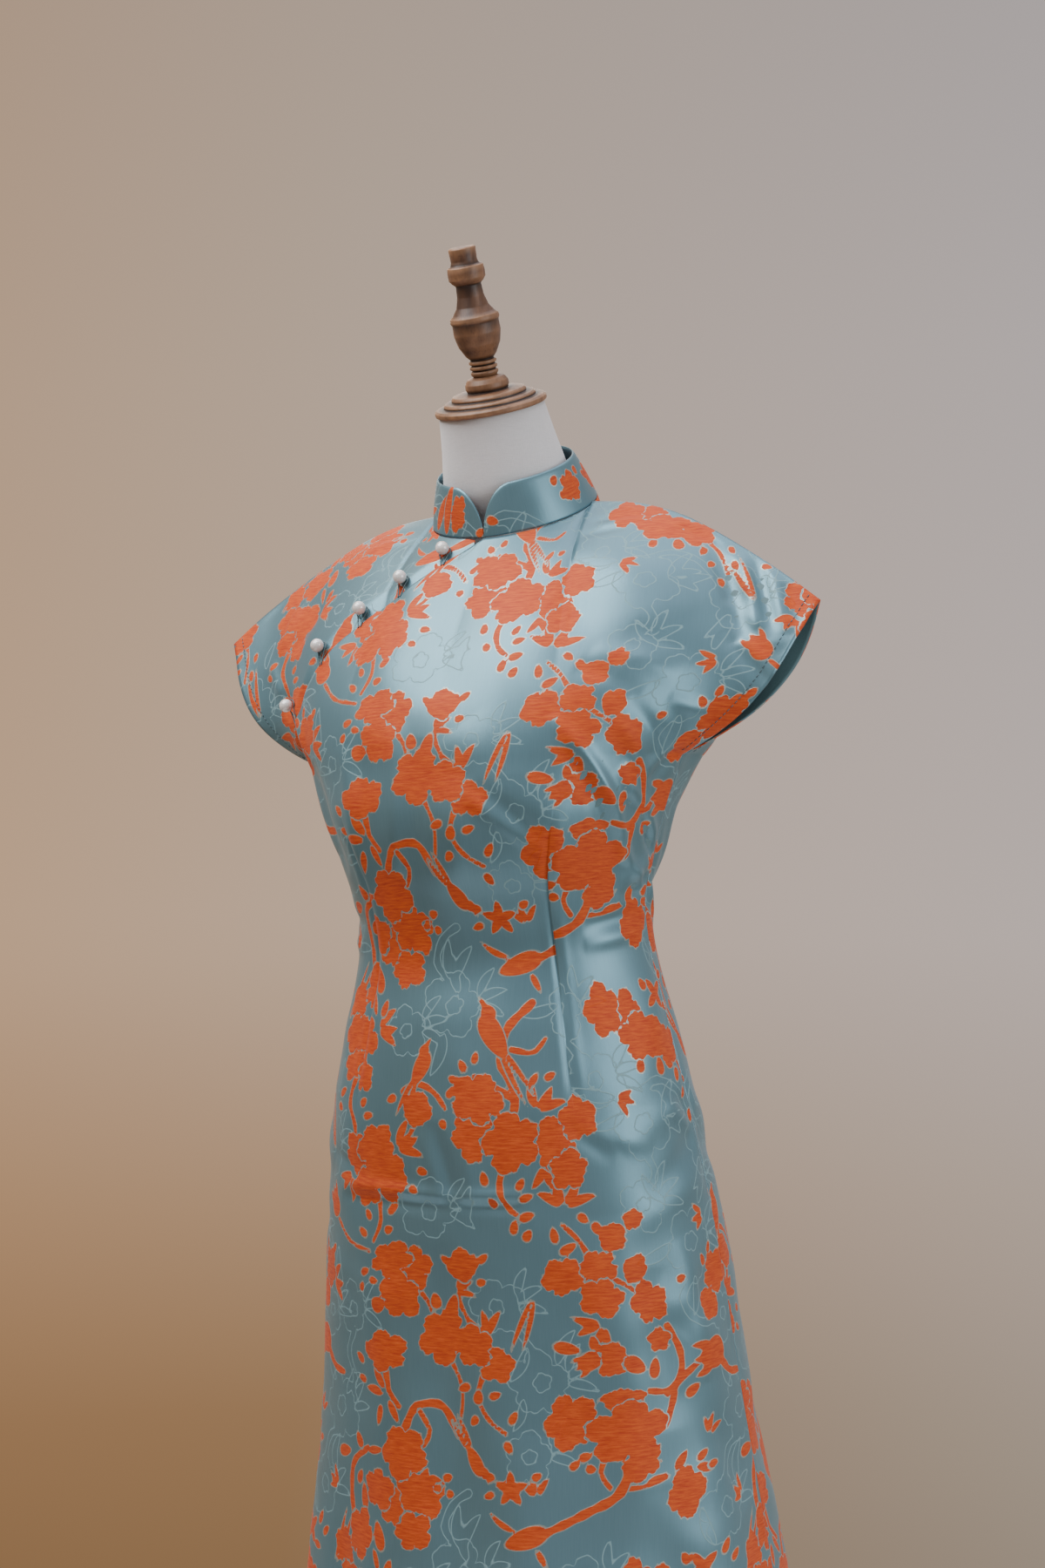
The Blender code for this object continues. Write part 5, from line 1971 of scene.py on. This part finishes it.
@dataclass
class DressForm:
    """A padded linen torso with a turned cap and finial, on a turned pole and base."""

    segments: int = 96
    turned_steps: int = 96
    rings_between: int = 5
    cap_tilt: float = math.radians(21)
    pole_radius: float = 0.014
    corner: float = 0.0006
    linen: Material = field(init=False)
    wood: Material = field(init=False)
    tilted_wood: Material = field(init=False)

    def __post_init__(self) -> None:
        """Make the finishes."""
        self.linen = Linen().build()
        self.wood = Walnut().build()
        self.tilted_wood = Walnut().build("walnut_tilted", (-self.cap_tilt, 0, 0))

    def torso(self) -> Object:
        """Loft the torso and neck through its ovals and close both ends."""
        table = np.array(FORM_OVALS)
        places = np.arange(len(table))
        fine = np.linspace(0, len(table) - 1, (len(table) - 1) * self.rings_between + 1)
        rows = through(places, table, fine)
        linear = np.stack([np.interp(fine, places, table[:, k]) for k in range(table.shape[1])], -1)
        rows = rows * 0.5 + linear * 0.5
        turns = np.linspace(0, 2 * math.pi, self.segments, endpoint=False)
        points = []
        for z, centre, tilt, half_width, front, back in rows:
            depth = np.where(np.cos(turns) > 0, front, back)
            away = -depth * np.cos(turns)
            c, s = math.cos(math.radians(tilt)), math.sin(math.radians(tilt))
            points.append(np.stack([half_width * np.sin(turns), centre + away * c, z + away * s], -1))
        count, n = len(points), self.segments
        faces = [
            (r * n + c, r * n + (c + 1) % n, (r + 1) * n + (c + 1) % n, (r + 1) * n + c)
            for r in range(count - 1)
            for c in range(n)
        ]
        ends = np.array([points[0].mean(0), points[-1].mean(0)])
        foot, head = count * n, count * n + 1
        faces += [(foot, (c + 1) % n, c) for c in range(n)]
        faces += [(head, (count - 1) * n + c, (count - 1) * n + (c + 1) % n) for c in range(n)]
        piece = new_piece("form_linen", np.concatenate([*points, ends]), faces, [self.linen])
        self.tie(piece, "form_torso")
        return piece

    def softened(self, profile: tuple[Turn, ...]) -> tuple[Array, Array]:
        """Round a turned profile's corners and note how proud or sunk each point is.

        Args:
            profile: The profile's points.

        Returns:
            The finer profile, and for each point a number from -1 in a hollow, painted dark as shade, to 1 on
            a proud edge, rubbed lighter.
        """
        points = np.array(profile)
        fine, rub_and_shade = [points[0]], [0.0]
        for a, b, c in zip(points[:-2], points[1:-1], points[2:]):
            before, after = b - a, c - b
            near, far = np.linalg.norm(before), np.linalg.norm(after)
            bend = (before[0] * after[1] - before[1] * after[0]) / (near * far)
            reach = min(self.corner, near * 0.4, far * 0.4)
            for q in (0.0, 0.25, 0.5, 0.75, 1.0):
                p = b - before / near * reach * (1 - q) ** 2 + after / far * reach * q**2
                fine.append(p)
                rub_and_shade.append(-bend)
        fine.append(points[-1])
        rub_and_shade.append(0.0)
        dense, worn = [fine[0]], [rub_and_shade[0]]
        for p, q, wp, wq in zip(fine[:-1], fine[1:], rub_and_shade[:-1], rub_and_shade[1:]):
            steps = max(1, int(np.linalg.norm(q - p) / 0.004))
            for k in range(1, steps + 1):
                share = k / steps
                dense.append(p + (q - p) * share)
                worn.append((wp * (1 - share) + wq * share) * abs(2 * share - 1) ** 2)
        return np.array(dense), np.array(worn)

    def turned(
        self, name: str, node: str, profile: tuple[Turn, ...], tilt: float = 0.0, foot: Triple = (0, 0, 0)
    ) -> Object:
        """Turn a profile on the lathe and set it in place.

        Args:
            name: The piece's name.
            node: The solid that it stands for.
            profile: The profile, from the top of the axis down to its foot.
            tilt: Lean to the front, in radians.
            foot: Where the axis starts.

        Returns:
            The piece.
        """
        line, rub_and_shade = self.softened(profile)
        n = self.turned_steps
        turns = np.linspace(0, 2 * math.pi, n, endpoint=False)
        middle = line[1:-1]
        radius = middle[:, None, 0]
        height = np.repeat(middle[:, 1:], n, 1)
        rings = np.stack([radius * np.cos(turns), radius * np.sin(turns), height], -1)
        points = np.concatenate([rings.reshape(-1, 3), [[0, 0, line[0, 1]], [0, 0, line[-1, 1]]]])
        count = len(middle)
        faces = [
            (r * n + c, (r + 1) * n + c, (r + 1) * n + (c + 1) % n, r * n + (c + 1) % n)
            for r in range(count - 1)
            for c in range(n)
        ]
        faces += [(count * n, c, (c + 1) % n) for c in range(n)]
        faces += [(count * n + 1, (count - 1) * n + (c + 1) % n, (count - 1) * n + c) for c in range(n)]
        stand = Matrix.Translation(foot) @ Matrix.Rotation(tilt, 4, "X")
        turn = np.array(stand)
        points = points @ turn[:3, :3].T + turn[:3, 3]
        piece = new_piece(name, points, faces, [self.tilted_wood if tilt else self.wood])
        # Positive values lighten rubbed edges; negative values darken hollows with painted shade.
        shade = np.concatenate([np.repeat(rub_and_shade[1:-1], n), [0, 0]])
        store(piece.data, "edge_wear", np.clip(shade, 0, 1))
        store(piece.data, "recess_shade", np.clip(-shade, 0, 1))
        self.tie(piece, node)
        return piece

    def tie(self, piece: Object, node: str) -> None:
        """Tie a piece of the form to the frame and report it."""
        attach(piece, "root")
        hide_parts(node)
        log.info("%s: %d faces", piece.name, len(piece.data.polygons))

    def build(self) -> None:
        """Make the whole form and its stand."""
        self.torso()
        top = FORM_OVALS[-1]
        foot = (0.0, top.centre, top.z)
        self.turned("cap_wood", "neck_cap", CAP_PROFILE, self.cap_tilt, foot)
        self.turned("finial_wood", "finial", FINIAL_PROFILE, self.cap_tilt, foot)
        high, low = FORM_OVALS[0].z, BASE_PROFILE[0].height
        r = self.pole_radius
        self.turned("pole_wood", "pole", (Turn(0, high), Turn(r, high), Turn(r, low), Turn(0, low)))
        self.turned("base_wood", "base", BASE_PROFILE)


# ---------------------------------------------------------------- the studio

# The room's colours round it, near the floor and up it; near the floor on the warm side a painted shadow of
# the dress darkens the wall. Places run from 0 to 1 across each axis.
WHITE = (1.0, 1.0, 1.0)
CEILING = (5.0, 5.5, 6.2)
WALLS = (
    (0.0, (0.420, 0.370, 0.330)),
    (0.08, (0.440, 0.340, 0.270)),
    (0.16, (0.490, 0.300, 0.165)),
    (0.27, (0.486, 0.376, 0.300)),
    (0.40, (0.470, 0.418, 0.410)),
)
# The lower wall: partly its colour, partly a painted shadow of the dress, darkest on the warm side.
LOW_WALLS_AND_SHADOW = (
    (0.0, (0.420, 0.370, 0.330)),
    (0.08, (0.400, 0.280, 0.200)),
    (0.16, (0.350, 0.205, 0.110)),
    (0.25, (0.350, 0.222, 0.130)),
    (0.40, (0.440, 0.392, 0.372)),
)
HEIGHTS = (
    (0.0, (0.40, 0.40, 0.40)),
    (0.36, (0.80, 0.73, 0.60)),
    (0.43, (1.14, 1.04, 0.92)),
    (0.48, (1.29, 1.25, 1.20)),
    (0.60, (1.15, 1.15, 1.15)),
    (0.74, (0.88, 0.88, 0.88)),
    (0.87, (1.2, 1.2, 1.2)),
    (0.94, CEILING),
    (1.0, CEILING),
)

@dataclass
class Studio:
    """A pale floor, soft lights and the camera."""

    floor_radius: float = 1.4
    eye: Triple = (0.8175, -1.7412, 1.09)
    heading: float = math.radians(25)
    pitch: float = math.radians(1.75)
    roll: float = math.radians(1.7)
    lens: float = 54.72
    room: float = 0.67

    def floor(self) -> Object:
        """Make the round floor."""
        n = Nodes("floor_pale")
        cloud = n.noise(n.object_place((1, 1, 1)), 3, 4)
        n.link(n.mix(cloud, (0.60, 0.58, 0.56), (0.66, 0.64, 0.62)), n.shader.inputs["Base Color"])
        n.set(Roughness=0.8)
        n.bump(n.noise(n.object_place((1, 1, 1)), 300, 2), 0.0004, 0.4)
        turns = np.linspace(0, 2 * math.pi, 96, endpoint=False)
        r = self.floor_radius
        edge = np.stack([r * np.cos(turns), r * np.sin(turns), np.full(96, -0.0005)], -1)
        under = edge + (0, 0, -0.012)
        faces = [tuple(range(96)), tuple(range(191, 95, -1))]
        faces += [(96 + i, 96 + (i + 1) % 96, (i + 1) % 96, i) for i in range(96)]
        piece = new_piece("floor", np.concatenate([edge, under]), faces, [n.material])
        piece.data.polygons.foreach_set("use_smooth", np.zeros(98, bool))
        return piece

    def lamp(self, name: str, where: Triple, aim: Triple, size: float, power: float, colour: Triple) -> None:
        """Hang a square soft light.

        Args:
            name: The light's name.
            where: Its place.
            aim: What it faces.
            size: Length of its side.
            power: Watts.
            colour: Its colour.
        """
        data = bpy.data.lights.new(name, "AREA")
        data.size = size
        data.energy = power
        data.color = colour
        light = bpy.data.objects.new(name, data)
        bpy.context.scene.collection.objects.link(light)
        light.location = where
        light.rotation_euler = (Vector(aim) - Vector(where)).to_track_quat("-Z", "Y").to_euler()

    def world(self) -> None:
        """Fill the room with a soft warm wall on one side and a cooler one on the other, the warm wall darker
        near the floor with a painted shadow of the dress.
        """
        world = bpy.data.worlds.new("room")
        world.use_nodes = True
        bpy.context.scene.world = world
        tree = world.node_tree
        where = tree.nodes.new("ShaderNodeTexCoord")
        split = tree.nodes.new("ShaderNodeSeparateXYZ")
        tree.links.new(where.outputs["Generated"], split.inputs[0])
        along, behind, up = (split.outputs[axis] for axis in "XYZ")
        # Near the floor the lower wall's colours take over, with their painted shadow.
        low = self.ramp(tree, up, ((0.39, WHITE), (0.49, (0.0, 0.0, 0.0))))
        colour = self.blend(tree, low, self.ramp(tree, along, WALLS), self.ramp(tree, along, LOW_WALLS_AND_SHADOW))
        dim = (self.room,) * 3
        rear = self.ramp(tree, behind, ((0.0, dim), (0.40, dim), (0.66, WHITE)))
        colour = self.blend(tree, 1.0, colour, rear, "MULTIPLY")
        colour = self.blend(tree, 1.0, colour, self.ramp(tree, up, HEIGHTS), "MULTIPLY")
        tree.links.new(colour, tree.nodes["Background"].inputs["Color"])
        tree.nodes["Background"].inputs["Strength"].default_value = 1.0

    def blend(
        self, tree: bpy.types.NodeTree, share: object, a: Socket, b: Socket, how: str = "MIX"
    ) -> Socket:
        """Mix two colours of the room.

        Args:
            tree: The node tree.
            share: How much of the second, as a socket or a number.
            a: The first colour.
            b: The second colour.
            how: The kind of mix.

        Returns:
            The colour's socket.
        """
        mix = tree.nodes.new("ShaderNodeMix")
        mix.data_type = "RGBA"
        mix.blend_type = how
        if isinstance(share, Socket):
            tree.links.new(share, mix.inputs[0])
        else:
            mix.inputs[0].default_value = share
        tree.links.new(a, mix.inputs[6])
        tree.links.new(b, mix.inputs[7])
        return mix.outputs[2]

    def ramp(self, tree: bpy.types.NodeTree, source: Socket, stops: Stops) -> Socket:
        """Turn a number from -1 to 1 into a colour.

        Args:
            tree: The node tree.
            source: The number.
            stops: Places from 0 to 1, and colours there.

        Returns:
            The colour's socket.
        """
        shift = tree.nodes.new("ShaderNodeMath")
        shift.operation = "MULTIPLY_ADD"
        shift.inputs[1].default_value = 0.5
        shift.inputs[2].default_value = 0.5
        tree.links.new(source, shift.inputs[0])
        made = tree.nodes.new("ShaderNodeValToRGB")
        band = made.color_ramp
        while len(band.elements) < len(stops):
            band.elements.new(0.5)
        for element, (place_on, colour) in zip(band.elements, stops):
            element.position = place_on
            element.color = (*colour, 1)
        tree.links.new(shift.outputs[0], made.inputs[0])
        return made.outputs[0]

    def camera(self) -> None:
        """Set the camera."""
        back = Vector((math.sin(self.heading), -math.cos(self.heading), 0))
        right = Vector((math.cos(self.heading), math.sin(self.heading), 0))
        forward = -back * math.cos(self.pitch) + Vector((0, 0, math.sin(self.pitch)))
        up = right.cross(forward)
        c, s = math.cos(self.roll), math.sin(self.roll)
        across, upward = right * c - up * s, right * s + up * c
        data = bpy.data.cameras.new("camera")
        data.lens = self.lens
        data.sensor_width = 36
        eye = bpy.data.objects.new("camera", data)
        bpy.context.scene.collection.objects.link(eye)
        turn = Matrix((across, upward, -forward)).transposed().to_4x4()
        eye.matrix_world = Matrix.Translation(self.eye) @ turn
        bpy.context.scene.camera = eye

    def build(self) -> None:
        """Set up the floor, the lights and the camera."""
        self.floor()
        self.world()
        self.lamp("key", (-0.45, -0.75, 2.45), (0, -0.1, 1.25), 1.3, 34, (0.96, 0.98, 1.0))
        self.lamp("back", (-0.9, 1.7, 2.2), (0, 0, 1.1), 1.1, 12, (1.0, 0.94, 0.86))
        self.lamp("side", (2.0, -0.55, 1.35), (0, 0, 1.0), 1.3, 21, (0.88, 0.95, 1.0))
        self.camera()


def main() -> None:
    """Build the dress, its form and the studio, and report each piece."""
    for light in [o for o in bpy.data.objects if o.type in ("LIGHT", "CAMERA")]:
        bpy.data.objects.remove(light)
    cube = bpy.data.objects.get("Cube")
    if cube is not None and cube.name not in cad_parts:
        bpy.data.objects.remove(cube)
    dress = Dress()
    front, front_cut, front_area = dress.panel(Side.FRONT)
    back, back_cut, back_area = dress.panel(Side.BACK)
    small, small_cut, small_area = dress.small_front()
    collar, collar_cut, collar_area = dress.collar()
    front_stitches = dress.stitches(Side.FRONT)
    back_stitches = dress.stitches(Side.BACK)
    pearls = dress.pearls()
    loops = dress.loops()
    form = DressForm()
    form.build()
    for piece, cut, area, with_pieces in (
        (front, front_cut, front_area, [front_stitches, loops]),
        (back, back_cut, back_area, [back_stitches]),
        (small, small_cut, small_area, [pearls]),
        (collar, collar_cut, collar_area, []),
    ):
        log.info("%s: cut %.0f by %.0f mm, %.3f m2", piece.name, cut[0] * 1000, cut[1] * 1000, area)
    Studio().build()


if __name__ == "__main__":
    main()
